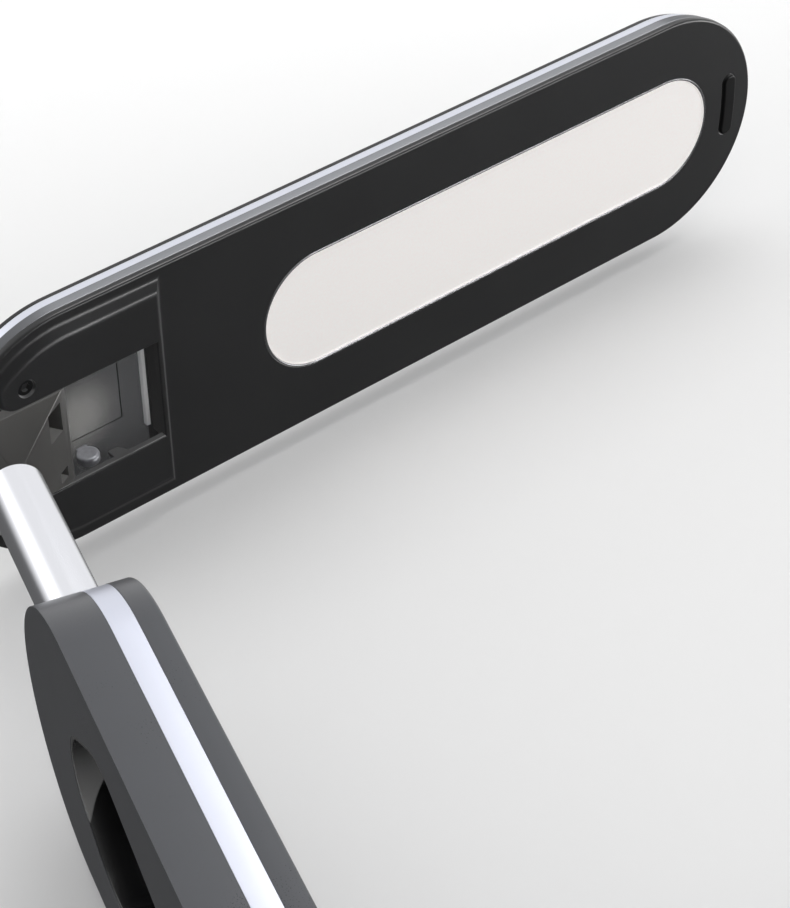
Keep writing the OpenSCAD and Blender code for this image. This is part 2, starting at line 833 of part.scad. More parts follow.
module hinge_leaf() {
    color([0.62, 0.63, 0.65]) in_head() difference() {
        union() {
            intersection() {
                translate([leaf_back, -screw_side - boss_r, leaf_z])
                    cube([leaf_front - leaf_back, 2 * (screw_side + boss_r), leaf_t]);
                on_head(leaf_z) pill(head_run, head_r - head_wall - move_gap, leaf_t);
            }
            translate([0, bay_half - move_gap, 0]) rotate([90, 0, 0])
                linear_extrude(bay_w - 2 * move_gap)
                    polygon([[leaf_front - lip_l, leaf_z + eps], [leaf_front, leaf_z + leaf_t],
                        [leaf_front, leaf_z - lip_h]]);
            for (side = [-1, 1]) translate([pin_lx, side * (ear_in + ear_t / 2), 0]) {
                translate([0, 0, pivot_depth]) rotate([90, 0, 0])
                    cylinder(r = ear_r, h = ear_t, center = true);
                translate([-ear_r, -ear_t / 2, pivot_depth])
                    cube([2 * ear_r, ear_t, leaf_z + eps - pivot_depth]);
            }
            for (side = [-1, 1])
                translate([pin_lx - screw_back, side * screw_side, head_z1 + fit_gap])
                    cylinder(r = boss_r, h = leaf_z + eps - head_z1 - fit_gap);
        }
        translate([pin_lx, ear_out + 1, pivot_depth]) rotate([90, 0, 0])
            cylinder(r = pin_d / 2 + run_gap, h = 2 * ear_out + 2);
        for (side = [-1, 1])
            translate([pin_lx - screw_back, side * screw_side, 0])
                cylinder(r = screw_thread_r, h = head_z2 - 0.5);
    }
}

module hinge_flap() {
    color([0.66, 0.67, 0.69]) in_head()
        translate([leaf_front - lip_l - flap_back - flap_l, move_gap - bay_half, leaf_z - flap_t])
            cube([flap_l, bay_half - move_gap + flap_y, flap_t]);
}

module hinge_barrel() {
    color([0.6, 0.62, 0.65]) in_head() translate([barrel_x, bay_half - move_gap, 0]) {
        translate([0, 0, leaf_z - barrel_r]) rotate([90, 0, 0])
            cylinder(r = barrel_r, h = barrel_l);
        translate([-barrel_r / 2, -barrel_l, leaf_z - barrel_r])
            cube([barrel_r, barrel_l, barrel_r]);
    }
}

module cover_solid() {
    rc = head_r - cover_margin;
    difference() {
        on_head(0) swept_pill(head_run) polygon([[0, -cover_rise],
            [rc - cover_slope, -cover_rise], [rc, 0], [rc, head_z1], [0, head_z1]]);
        translate([0, head_w, 0]) rotate([90, 0, 0]) linear_extrude(2 * head_w)
            polygon([[cover_x, head_z1 + 1], [cover_x, 0],
                [cover_x - cover_slope, -cover_rise],
                [cover_x - cover_slope, -cover_rise - 1],
                [head_r, -cover_rise - 1], [head_r, head_z1 + 1]]);
    }
}

// A short rib behind the edge of the bay, beside the barrel
module cover_rib() {
    translate([pin_lx + rib_fwd, bay_half - eps, 0]) rotate([90, 0, 0]) mirror([0, 0, 1])
        linear_extrude(bay_wall_t) polygon([[0, -cover_rise], [2 * rib_l, -cover_rise],
            [rib_l, rib_h], [0, rib_h]]);
}

module hinge_cover() {
    bay_front = cover_x - cover_slope;
    ear_cut = ear_out + move_gap - bay_half + 1;
    color(dark) in_head() difference() {
        union() {
            cover_solid();
            cover_rib();
            translate([bay_front, -bay_half - bay_wall_t, head_z1 - eps])
                cube([bay_wall_t, bay_w + 2 * bay_wall_t, leaf_z - lip_h - head_z1 - bay_wall_gap]);
        }
        translate([pin_lx - head_r, -bay_half, -cover_rise - 1])
            cube([bay_front - pin_lx + head_r, bay_w, head_z2]);
        difference() {
            translate([pin_lx, -bay_half - bay_under, bay_lip_t - cover_rise])
                cube([cover_front - cover_slope, bay_w + 2 * bay_under, head_z2]);
            cover_rib();
            translate([bay_front - eps, -head_r, head_z1 - eps]) cube([bay_wall_t, head_w, head_z2]);
        }
        translate([-head_run - head_r, -head_r, -cover_rise - 1])
            cube([head_r + pin_lx + head_run - arm_end, head_w, head_z2]);
        for (side = [-1, 1]) {
            translate([pin_lx - ear_r - move_gap,
                side * (bay_half - 1 + ear_cut / 2) - ear_cut / 2, pivot_depth - ear_r - move_gap])
                cube([2 * (ear_r + move_gap), ear_cut, head_z2]);
            translate([pin_lx - screw_back, side * screw_side, -cover_rise - 1]) {
                cylinder(r = screw_head_d / 2 + 2 * fit_gap,
                    h = cover_rise + 1 + screw_head_t - screw_head_rise);
                cylinder(r = screw_thread_r + fit_gap, h = head_z2);
            }
        }
    }
}

module cover_screws() {
    color([0.08, 0.08, 0.09]) in_head() for (side = [-1, 1])
        translate([pin_lx - screw_back, side * screw_side, 0]) difference() {
            union() {
                translate([0, 0, -screw_head_rise])
                    cylinder(r = screw_head_d / 2, h = screw_head_t);
                cylinder(r = screw_thread_r - run_gap, h = leaf_z);
            }
            translate([0, 0, -screw_head_t]) cylinder(d = socket_d, h = screw_head_t, $fn = 6);
        }
}

module head_top_cover() {
    color(dark) in_head() on_head(head_z2) swept_pill(head_run)
        rounded_section(head_r - head_ridge / 2, head_top_t, head_edge_r);
}

module head_frame() {
    inner = head_r - head_wall;
    color(silver) in_head() on_head(head_z1) swept_pill(head_run)
        polygon([[inner, 0], [head_r - head_ridge, 0], [head_r, head_band_t / 2],
            [head_r - head_ridge / 2, head_band_t], [inner, head_band_t]]);
}

// Outline of the head switch, bent along a wide arc
module switch2d(grow) {
    half = switch_l / 2 - switch_w / 2;
    w = switch_w / 2 + grow;
    a = asin(half / switch_bend);
    translate([switch_x - switch_bend, 0]) {
        intersection() {
            difference() {
                circle(switch_bend + w, $fn = 256);
                circle(switch_bend - w, $fn = 256);
            }
            polygon([[0, 0], [2 * switch_bend, -2 * switch_bend * tan(a)],
                [2 * switch_bend, 2 * switch_bend * tan(a)]]);
        }
        for (side = [-1, 1]) rotate(side * a) translate([switch_bend, 0]) circle(w);
    }
}

module head_lower_shell() {
    color(dark) in_head() difference() {
        translate([-head_run / 2, 0, head_low_t]) mirror([0, 0, 1]) swept_pill(head_run)
            rounded_section(head_r - head_ridge, head_low_t, head_edge_r);
        translate([-window_run / 2, 0, -1])
            pill(window_run, window_r + trim_w + fit_gap, head_low_t + 2);
        translate([0, 0, -1]) linear_extrude(head_low_t + 2) switch2d(move_gap);
        intersection() {
            on_head(-1) pill(head_run, head_r - cover_margin + fit_gap, head_low_t + 2);
            translate([-head_l, -head_r, -1])
                cube([head_l + cover_x + fit_gap, head_w, head_low_t + 2]);
        }
    }
}

module diffuser() {
    color([0.93, 0.92, 0.9]) in_head() translate([-window_run / 2, 0, diffuser_in])
        pill(window_run, window_r - fit_gap / 2, head_z1 - diffuser_in);
}

module diffuser_trim() {
    color([0.5, 0.5, 0.5]) in_head() translate([-window_run / 2, 0, -trim_rise]) difference() {
        pill(window_run, window_r + trim_w, head_z1 + trim_rise);
        translate([0, 0, -1]) pill(window_run, window_r, head_z1 + trim_rise + 2);
    }
}

module light_guide() {
    color([0.85, 0.92, 0.95, 0.6]) in_head() translate([-window_run / 2, 0, guide_z])
        pill(window_run, guide_r, guide_t);
}

module reflector_sheet() {
    color("white") in_head() translate([-window_run / 2, 0, reflector_z])
        pill(window_run, guide_r, reflector_t);
}

module light_strips() {
    color([0.95, 0.95, 0.9]) in_head() for (side = [-1, 1])
        translate([-window_run, side * (strip_y + strip_t / 2) - strip_t / 2, guide_z])
            cube([window_run, strip_t, guide_t + reflector_t]);
}

module light_chips() {
    pitch = window_run / chip_n;
    color([1, 0.9, 0.5]) in_head() for (side = [-1, 1], k = [0:chip_n - 1])
        translate([-window_run + (k + 0.5) * pitch, side * (strip_y - chip_t / 2),
            guide_z + guide_t / 2])
            cube([chip_w, chip_t, guide_t - chip_short], center = true);
}

module heat_spreader() {
    color([0.7, 0.71, 0.72]) in_head() translate([-window_run / 2, 0, spreader_z])
        pill(window_run, spreader_r, head_z2 - spreader_z);
}

module head_board() {
    board_x = (cover_x - window_run - spreader_r) / 2;
    color(board_green) in_head()
        translate([board_x - head_board_l / 2, -head_board_w / 2, head_z2 - board_t])
            cube([head_board_l, head_board_w, board_t]);
    color([0.12, 0.12, 0.13]) in_head() for (k = [-1:1])
        translate([board_x - head_part_w / 2, k * head_part_pitch - head_part_w / 2,
            head_z2 - board_t - part_h])
            cube([head_part_w, head_part_w, part_h]);
}

module head_switch() {
    color([0.11, 0.11, 0.12]) in_head() {
        translate([0, 0, -switch_rise]) linear_extrude(switch_end_z + switch_rise) switch2d(0);
        translate([0, 0, head_z1 + move_gap]) linear_extrude(switch_inner) switch2d(switch_lip);
    }
}

module switch_board() {
    tact_z = switch_end_z + switch_travel + move_gap;
    color(board_green) in_head()
        translate([switch_x - switch_board_l / 2, -switch_l / 2, head_z2 - board_t])
            cube([switch_board_l, switch_l, board_t]);
    color([0.15, 0.15, 0.15]) in_head()
        translate([switch_x - tact_w / 2, -tact_w / 2, tact_z])
            cube([tact_w, tact_w, head_z2 - board_t - tact_z]);
}

grip_pad();
base_bottom_shell();
base_band();
base_top_shell();
ballast_plate();
charging_disc();
charge_ring();
charging_coil();
ferrite_plate();
coil_carrier();
charger_board();
board_posts();
power_inlet();
inlet_board();
base_screws();
base_button();
button_switch();
status_lens();
stem_rear_shell();
stem_band();
stem_front_shell();
opening_liner();
stem_dowels();
swivel_bush();
bush_clip();
swivel_spindle();
neck_tube();
neck_bracket();
hinge_pin();
hinge_washers();
hinge_leaf();
hinge_flap();
hinge_barrel();
hinge_cover();
cover_screws();
head_top_cover();
head_frame();
head_lower_shell();
diffuser();
diffuser_trim();
light_guide();
reflector_sheet();
light_strips();
light_chips();
heat_spreader();
head_board();
head_switch();
switch_board();
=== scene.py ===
import json
import math

import bmesh
import bpy
from mathutils import Matrix, Vector
from mathutils.geometry import tessellate_polygon


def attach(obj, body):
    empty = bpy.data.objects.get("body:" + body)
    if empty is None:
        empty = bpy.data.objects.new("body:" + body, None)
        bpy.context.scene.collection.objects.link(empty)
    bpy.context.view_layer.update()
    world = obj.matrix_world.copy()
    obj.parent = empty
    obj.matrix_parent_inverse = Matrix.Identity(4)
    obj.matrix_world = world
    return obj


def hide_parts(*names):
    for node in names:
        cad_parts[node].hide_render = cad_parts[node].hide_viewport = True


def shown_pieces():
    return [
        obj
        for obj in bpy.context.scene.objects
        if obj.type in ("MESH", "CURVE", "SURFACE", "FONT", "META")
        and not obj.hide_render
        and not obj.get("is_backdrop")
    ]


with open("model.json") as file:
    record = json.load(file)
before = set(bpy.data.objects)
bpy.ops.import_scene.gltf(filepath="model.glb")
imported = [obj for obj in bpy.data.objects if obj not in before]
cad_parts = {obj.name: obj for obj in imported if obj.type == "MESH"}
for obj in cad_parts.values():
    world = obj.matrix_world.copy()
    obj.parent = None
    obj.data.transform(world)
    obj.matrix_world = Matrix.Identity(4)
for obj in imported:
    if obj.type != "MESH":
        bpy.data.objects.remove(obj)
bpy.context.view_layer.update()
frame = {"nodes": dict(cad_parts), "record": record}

# Grip pad
# A sheet of moulded rubber glued into a recess under the base, so that the lamp
# grips the desk. It stands a little below the shell all round. Sizes are in mm.
MM = 0.001
BASE_RUN, PAD_R, PAD_TOP, PAD_EDGE = 88.0, 51.0, 1.8, 0.4
STANDING = Matrix.Identity(4)
SUPPORT = 0.12
SHARP = math.radians(32)


def pill(run, radius, seg=40, middle=0.0):
    """The outline of a flat pill along X, for any amount that it is drawn in."""
    def outline(inset=0.0):
        r = radius - inset
        ends = [(middle + run / 2, -90), (middle - run / 2, 90)]
        return [(x + r * math.cos(math.radians(a + 180 * k / seg)),
                 r * math.sin(math.radians(a + 180 * k / seg)))
                for x, a in ends for k in range(seg + 1)]
    return outline


def disc(radius, seg=72, x=0.0, y=0.0):
    """The outline of a round piece, for any amount that it is drawn in."""
    def outline(inset=0.0):
        r = radius - inset
        turn = 2 * math.pi / seg
        return [(x + r * math.cos(k * turn), y + r * math.sin(k * turn)) for k in range(seg)]
    return outline


def rim(low, high, low_edge=0.0, high_edge=0.0, seg=5):
    """Steps up an upright rim, each an inset and a height. A rounded edge has a narrow
    flat strip beside it, as wide as SUPPORT, which keeps its shading clean."""
    steps = []
    for edge, level, side in ((low_edge, low, 1), (high_edge, high, -1)):
        if not edge:
            part = [(0.0, level)]
        else:
            part = [(edge + SUPPORT, level)]
            for k in range(seg + 1):
                a = math.pi / 2 * k / seg
                part.append((edge * (1 - math.sin(a)), level + side * edge * (1 - math.cos(a))))
        steps += part if side > 0 else part[::-1]
    return steps


def skin(bm, place, *stacks):
    """Walls through stacks of rings; the first stack is the outside, the rest are holes."""
    ends = ([], [])
    for rings in stacks:
        loops = [[bm.verts.new(place @ (Vector(p) * MM)) for p in ring] for ring in rings]
        for low, high in zip(loops, loops[1:]):
            for k in range(len(low)):
                bm.faces.new((low[k - 1], low[k], high[k], high[k - 1]))
        ends[0].append((rings[0], loops[0]))
        ends[1].append((rings[-1], loops[-1]))
    for end in ends:
        if len(end) == 1:
            bm.faces.new(end[0][1])
            continue
        flat = [[Vector((p[0], p[1], 0.0)) for p in ring] for ring, _ in end]
        corners = [v for _, loop in end for v in loop]
        for tri in tessellate_polygon(flat):
            if len(set(tri)) == 3:
                bm.faces.new([corners[i] for i in tri])


def plate(bm, place, outline, steps, *holes):
    """A flat piece with a worked rim. Each hole is an outline and the steps of its wall."""
    stacks = [[[(x, y, h) for x, y in outline(d)] for d, h in steps]]
    for shape, wall in holes:
        stacks.append([[(x, y, h) for x, y in shape(-d)] for d, h in wall])
    skin(bm, place, *stacks)


def piece(name, bm, body, finish, *nodes):
    """Turns the mesh into a piece of the lamp that moves with a body."""
    bmesh.ops.recalc_face_normals(bm, faces=bm.faces)
    mesh = bpy.data.meshes.new(name)
    bm.to_mesh(mesh)
    bm.free()
    mesh.shade_smooth()
    mesh.set_sharp_from_angle(angle=SHARP)
    mesh.materials.append(finish.material)
    made = bpy.data.objects.new(name, mesh)
    bpy.context.scene.collection.objects.link(made)
    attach(made, body)
    if nodes:
        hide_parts(*nodes)
    return made


def tone(red, green, blue):
    """A colour as it is seen, 0 to 255, made into light values by the usual curve."""
    def light(c):
        c /= 255
        return c / 12.92 if c <= 0.04045 else ((c + 0.055) / 1.055) ** 2.4
    return (light(red), light(green), light(blue), 1.0)


def shade(colour, amount):
    """The same colour, lighter or darker."""
    return tuple(c * amount for c in colour[:3]) + (1.0,)


class Level:
    """A number that varies over a surface. Python's signs on it add the sums."""

    def __init__(self, finish, socket):
        self.finish, self.socket = finish, socket

    def _sum(self, operation, first, second):
        return self.finish.node("ShaderNodeMath", {"operation": operation},
                                {0: first, 1: second})

    def __add__(self, other):
        return self._sum("ADD", self, other)

    def __sub__(self, other):
        return self._sum("SUBTRACT", self, other)

    def __rsub__(self, other):
        return self._sum("SUBTRACT", other, self)

    def __mul__(self, other):
        return self._sum("MULTIPLY", self, other)

    __radd__ = __add__
    __rmul__ = __mul__


class Nodes:
    """A node tree. One method makes any node: its settings, then what goes in."""

    def __init__(self, tree):
        self.tree = tree

    def node(self, kind, settings=None, sockets=None, out=0):
        made = self.tree.nodes.new(kind)
        for name, value in (settings or {}).items():
            if name == "stops":
                stops = made.color_ramp.elements
                for k, (at, colour) in enumerate(value):
                    stop = stops[k] if k < len(stops) else stops.new(at)
                    stop.position, stop.color = at, colour
            else:
                setattr(made, name, value)
        for name, value in (sockets or {}).items():
            self.join(value, made.inputs[name])
        return Level(self, made.outputs[out])

    def join(self, value, socket):
        if isinstance(value, Level):
            self.tree.links.new(value.socket, socket)
        else:
            socket.default_value = value

    def vector(self, operation, first, second=(0.0, 0.0, 0.0), out=0):
        """A sum on places or directions. Out 1 is the one for a plain number."""
        return self.node("ShaderNodeVectorMath", {"operation": operation},
                         {0: first, 1: second}, out)

    def fade(self, level, start, stop):
        """0 at start, 1 at stop and smooth between. Start may be the higher one."""
        return self.node("ShaderNodeMapRange", {"interpolation_type": "SMOOTHSTEP"},
                         {"Value": level, "From Min": start, "From Max": stop})


class Finish(Nodes):
    """A surface finish. Its numbers are set on the shader; what varies is fed to it."""

    def __init__(self, slot, label=None, **numbers):
        self.slot = slot
        self.material = bpy.data.materials.new(label or slot)
        self.material.use_nodes = True
        super().__init__(self.material.node_tree)
        self.shader = self.tree.nodes["Principled BSDF"]
        for name, value in numbers.items():
            self.shader.inputs[name.replace("_", " ")].default_value = value

    def feed(self, **levels):
        for name, value in levels.items():
            self.join(value, self.shader.inputs[name.replace("_", " ")])
        return self

    def spot(self, stretch=(1.0, 1.0, 1.0)):
        """The place on the piece, which may be stretched so that a noise runs in streaks."""
        where = self.node("ShaderNodeTexCoord", out="Object")
        return self.node("ShaderNodeMapping", {"vector_type": "POINT"},
                         {"Vector": where, "Scale": stretch})

    def noise(self, scale, detail=3.0, where=None):
        """A cloud from 0 to 1. The scale is in spots to the metre."""
        return self.node("ShaderNodeTexNoise", sockets={
            "Vector": where or self.spot(), "Scale": scale, "Detail": detail,
            "Roughness": 0.6})

    def blend(self, share, first, second):
        """A mix of two colours, which are sockets 6 and 7 of the node."""
        return self.node("ShaderNodeMix", {"data_type": "RGBA"},
                         {0: share, 6: first, 7: second}, out=2)

    def relief(self, height, depth, strength=1.0):
        """Bumps in the surface, as deep as depth in mm."""
        return self.node("ShaderNodeBump", sockets={
            "Height": height, "Distance": depth * MM, "Strength": strength})


def moulded(slot, colour, roughness, depth=0.02, grain=2600.0, label=None, **numbers):
    """Fine-grained moulded plastic or rubber, a little uneven in colour and sheen."""
    finish = Finish(slot, label, **numbers)
    cloud = finish.noise(35.0, 2.0)
    fine = finish.noise(grain, 2.0)
    finish.feed(Base_Color=finish.blend(cloud, shade(colour, 0.93), shade(colour, 1.07)),
                Roughness=fine * 0.10 + cloud * 0.06 + (roughness - 0.08),
                Normal=finish.relief(fine, depth, 0.35))
    return finish


grip_rubber = moulded("grip_rubber", tone(38, 38, 39), 0.8, 0.05, 1500.0)

bm = bmesh.new()
plate(bm, STANDING, pill(BASE_RUN, PAD_R), rim(0.0, PAD_TOP, PAD_EDGE))
piece("grip_pad_rubber", bm, "base", grip_rubber, "grip_pad")

# Base shells
# Two moulded trays of satin charcoal plastic with rounded rims and a silver metal
# band clamped between them. Screws from below hold all three to the ballast plate.
BASE_R, BASE_LOW, BAND_LOW, BAND_TOP, BASE_TOP = 56.0, 1.2, 8.2, 13.2, 22.0
RIM_EDGE, SEAM, SEAM_EDGE = 1.6, 0.05, 0.12
PAD_GAP, PAD_MOUTH = 0.3, 0.2
STEM_FRONT, STEM_REAR, STEM_HALF, STEM_GAP, STEM_MOUTH = -52.95, -77.25, 38.1, 0.15, 0.25
CHARGE_X, CHARGE_R, RING_W, RING_GAP, RING_MOUTH = 28.0, 31.0, 1.4, 0.1, 0.2
BUTTON_X, BUTTON_R, BUTTON_GAP, BUTTON_MOUTH = 78.0, 6.5, 0.3, 0.3
LENS_X, LENS_R, LENS_GAP, LENS_MOUTH = 63.4, 1.0, 0.1, 0.08
INLET_Z, INLET_RUN, INLET_R, INLET_REACH = 16.35, 5.8, 1.7, (-104.0, -90.0)
ACROSS = Matrix(((0, 0, 1, 0), (1, 0, 0, 0), (0, 1, 0, 0), (0, 0, 0, 1)))
LEAST_R = 0.02


def corners(points, radius, seg=6):
    """An outline through corner points, each rounded, for any inset of a convex shape."""
    def outline(inset=0.0):
        cx = sum(p[0] for p in points) / len(points)
        cy = sum(p[1] for p in points) / len(points)
        pulled = [(x - math.copysign(inset, x - cx), y - math.copysign(inset, y - cy))
                  for x, y in points]
        r = max(radius - inset, LEAST_R)
        ring = []
        for k, here in enumerate(pulled):
            p, q = Vector(pulled[k - 1]), Vector(pulled[(k + 1) % len(pulled)])
            c = Vector(here)
            into, away = (p - c).normalized(), (q - c).normalized()
            for j in range(seg + 1):
                a = math.pi / 2 * j / seg
                at = c + into * r * (1 - math.sin(a)) + away * r * (1 - math.cos(a))
                ring.append((at.x, at.y))
        return ring
    return outline


def box(x0, x1, y0, y1, radius=0.3):
    """The outline of a block with rounded corners."""
    return corners([(x0, y0), (x1, y0), (x1, y1), (x0, y1)], radius)


def through_top(outline, edge):
    """A hole through the upper tray, with a rounded edge at its top."""
    return outline, rim(BAND_TOP + SEAM, BASE_TOP, 0.0, edge)


def cut(target, bm):
    """Takes the shape in bm out of a piece."""
    mesh = bpy.data.meshes.new("cutter")
    bmesh.ops.recalc_face_normals(bm, faces=bm.faces)
    bm.to_mesh(mesh)
    bm.free()
    tool = bpy.data.objects.new("cutter", mesh)
    bpy.context.scene.collection.objects.link(tool)
    step = target.modifiers.new("cut", "BOOLEAN")
    step.operation, step.solver, step.object = "DIFFERENCE", "EXACT", tool
    ready = target.evaluated_get(bpy.context.evaluated_depsgraph_get())
    done = bpy.data.meshes.new_from_object(ready)
    target.modifiers.clear()
    target.data = done
    target.data.set_sharp_from_angle(angle=SHARP)
    bpy.data.objects.remove(tool)


charcoal = moulded("dark_shell", tone(33, 33, 34), 0.33, 0.008, Specular_IOR_Level=0.4)

bm = bmesh.new()
plate(bm, STANDING, pill(BASE_RUN, BASE_R, 64),
      rim(BASE_LOW, BAND_LOW - SEAM, RIM_EDGE, SEAM_EDGE),
      (pill(BASE_RUN, PAD_R + PAD_GAP), rim(BASE_LOW, BAND_LOW - SEAM, PAD_MOUTH)))
piece("base_lower_tray", bm, "base", charcoal, "base_bottom_shell")

bm = bmesh.new()
plate(bm, STANDING, pill(BASE_RUN, BASE_R, 64),
      rim(BAND_TOP + SEAM, BASE_TOP, SEAM_EDGE, RIM_EDGE),
      through_top(box(STEM_REAR - STEM_GAP, STEM_FRONT + STEM_GAP,
                      -STEM_HALF - STEM_GAP, STEM_HALF + STEM_GAP), STEM_MOUTH),
      through_top(disc(CHARGE_R + RING_W + RING_GAP, 96, CHARGE_X), RING_MOUTH),
      through_top(disc(BUTTON_R + BUTTON_GAP, 64, BUTTON_X), BUTTON_MOUTH),
      through_top(disc(LENS_R + LENS_GAP, 32, LENS_X), LENS_MOUTH))
upper_tray = piece("base_upper_tray", bm, "base", charcoal, "base_top_shell")

# The mouth of the power inlet goes through the rear of the upper tray.
bm = bmesh.new()
plate(bm, Matrix.Translation((0.0, 0.0, INLET_Z * MM)) @ ACROSS,
      pill(INLET_RUN, INLET_R, 16), rim(*INLET_REACH))
cut(upper_tray, bm)

# Silver bands
# Anodised aluminium strip with a fine satin grain. The same finish is on the base
# band, the stem's middle layer and the charging ring.
BAND_IN, BAND_WALL, BAND_EDGE = 0.05, 2.5, 0.12
anodised = Finish("silver_band", Metallic=1.0)
streaks = anodised.noise(900.0)
cloud = anodised.noise(22.0, 2.0)
anodised.feed(Base_Color=anodised.blend(cloud, tone(212, 215, 228), tone(220, 223, 235)),
              Roughness=streaks * 0.10 + 0.30,
              Normal=anodised.relief(streaks, 0.006, 0.3))

bm = bmesh.new()
plate(bm, STANDING, pill(BASE_RUN, BASE_R - BAND_IN, 64),
      rim(BAND_LOW, BAND_TOP, BAND_EDGE, BAND_EDGE),
      (pill(BASE_RUN, BASE_R - BAND_WALL, 64), rim(BAND_LOW, BAND_TOP)))
piece("base_silver_band", bm, "base", anodised, "base_band")

# Charging disc
# A disc of soft rubber on which the phone lies, with fine turned rings in its face,
# and a thin bright metal ring let into the base round it. The turned rings are a
# millimetre apart, by TURNING in radians to the metre.
DISC_LOW, DISC_TOP, DISC_EDGE = BASE_TOP - 0.9, BASE_TOP + 0.7, 0.35
RING_TOP, RING_IN, RING_EDGE, RING_BORE_EDGE = BASE_TOP + 0.2, 0.05, 0.15, 0.1
TURNING = 6283.0
soft_rubber = Finish("soft_disc", Roughness=0.72)
from_middle = soft_rubber.vector("SUBTRACT", soft_rubber.spot(),
                                 (CHARGE_X * MM, 0.0, BASE_TOP * MM))
reach = soft_rubber.vector("LENGTH", from_middle, out=1)
turned = soft_rubber.node("ShaderNodeMath", {"operation": "SINE"}, {0: reach * TURNING})
fine = soft_rubber.noise(1800.0, 2.0)
soft_rubber.feed(
    Base_Color=soft_rubber.blend(soft_rubber.noise(40.0), tone(40, 40, 42), tone(50, 50, 52)),
    Roughness=fine * 0.12 + 0.62,
    Normal=soft_rubber.relief(turned * 0.5 + fine * 0.4, 0.04, 0.5))

bm = bmesh.new()
plate(bm, STANDING, disc(CHARGE_R, 96, CHARGE_X), rim(DISC_LOW, DISC_TOP, 0.0, DISC_EDGE))
piece("charging_disc_rubber", bm, "base", soft_rubber, "charging_disc")

bm = bmesh.new()
plate(bm, STANDING, disc(CHARGE_R + RING_W, 96, CHARGE_X),
      rim(DISC_LOW, RING_TOP, 0.0, RING_EDGE),
      (disc(CHARGE_R + RING_IN, 96, CHARGE_X), rim(DISC_LOW, RING_TOP, 0.0, RING_BORE_EDGE)))
piece("charging_ring_metal", bm, "base", anodised, "charge_ring")

# Base button
# A round push button of satin black plastic with a shallow dish in its top, and
# beside it the small frosted lens of the status light.
FLANGE_W, FLANGE_LOW, FLANGE_TOP = 0.9, 18.2, 19.2
BUTTON_TOP, BUTTON_EDGE = BASE_TOP + 1.1, 0.6
DISH_DEEP, DISH_STEP, DISH_STEPS = 0.25, 0.9, 5
LENS_LOW, LENS_TOP, LENS_EDGE = 19.6, BASE_TOP + 0.05, 0.2
button_black = moulded("button_plastic", tone(9, 9, 10), 0.40, 0.01, Specular_IOR_Level=0.15)
bm = bmesh.new()
plate(bm, STANDING, disc(BUTTON_R + FLANGE_W, 64, BUTTON_X), rim(FLANGE_LOW, FLANGE_TOP))
dish = [(0.0, FLANGE_TOP)] + rim(FLANGE_TOP, BUTTON_TOP, 0.0, BUTTON_EDGE)[1:-1]
dish += [(DISH_STEP + DISH_STEP * k,
          BUTTON_TOP - DISH_DEEP * math.sin(math.pi / 2 * k / DISH_STEPS))
         for k in range(DISH_STEPS + 1)]
plate(bm, STANDING, disc(BUTTON_R, 64, BUTTON_X), dish)
piece("base_push_button", bm, "base_button", button_black, "base_button")

frosted = Finish("lens", Roughness=0.35, Coat_Weight=0.3)
frosted.feed(Base_Color=frosted.blend(frosted.noise(500.0), tone(215, 222, 228),
                                      tone(232, 236, 240)))
bm = bmesh.new()
plate(bm, STANDING, disc(LENS_R, 32, LENS_X), rim(LENS_LOW, LENS_TOP, 0.0, LENS_EDGE))
piece("status_light_lens", bm, "base", frosted, "status_lens")

# Stem
# Three layers make the stem: a thick hollow rear shell, a silver plate and a thinner
# front shell with a softly rounded edge. A drop-shaped opening runs through all three.
STEM_MID_REAR, STEM_MID_FRONT = -65.05, -58.95
STEM_TOP, STEM_FOOT = 257.0, 12.0
SLOT = ((137.8, 7.0), (194.8, 21.0), (207.8, 14.0))
LINER_WALL, LINER_IN, LINER_EDGE = 1.0, 0.1, 0.3
LAYER_SEAM, LAYER_EDGE, PLATE_IN, PLATE_EDGE = 0.04, 0.12, 0.06, 0.1
REAR_EDGE, FRONT_EDGE, REAR_MOUTH, FRONT_MOUTH = 0.15, 0.8, 0.1, 0.2


def stem_outline(inset=0.0, seg=56, rows=12):
    """The stem seen from the front: straight sides and a half round top."""
    r = STEM_HALF - inset
    top = STEM_TOP - STEM_HALF
    arc = [(r * math.cos(math.pi * k / seg), top + r * math.sin(math.pi * k / seg))
           for k in range(seg + 1)]
    sides = [(r, top - (top - STEM_FOOT) * k / rows) for k in range(rows, 0, -1)]
    return sides + arc + [(-x, z) for x, z in sides[::-1]]


def slot_outline(inset=0.0, seg=14):
    """The drop: a line drawn tight round three circles, one above the other."""
    (z0, r0), (z1, r1), (z2, r2) = SLOT
    low, high = math.asin((r0 - r1) / (z1 - z0)), math.asin((r1 - r2) / (z2 - z1))
    right = []
    for z, r, start, stop in ((z0, r0, -math.pi / 2, low), (z1, r1, low, high),
                              (z2, r2, high, math.pi / 2)):
        right += [((r - inset) * math.cos(start + (stop - start) * k / seg),
                   z + (r - inset) * math.sin(start + (stop - start) * k / seg))
                  for k in range(seg + 1)]
    return right[1:-1] + [(-x, z) for x, z in right[::-1]][1:]


def slot_round_liner(inset=0.0):
    """The opening in the layers, wider than the drop by the wall of the liner."""
    return slot_outline(inset - LINER_WALL)


slate = moulded("stem_shell", tone(50, 52, 58), 0.30, 0.010, Specular_IOR_Level=0.85)

bm = bmesh.new()
plate(bm, ACROSS, stem_outline,
      rim(STEM_REAR, STEM_MID_REAR - LAYER_SEAM, REAR_EDGE, LAYER_EDGE),
      (slot_round_liner, rim(STEM_REAR, STEM_MID_REAR - LAYER_SEAM, REAR_MOUTH)))
piece("stem_rear_layer", bm, "base", slate, "stem_rear_shell")

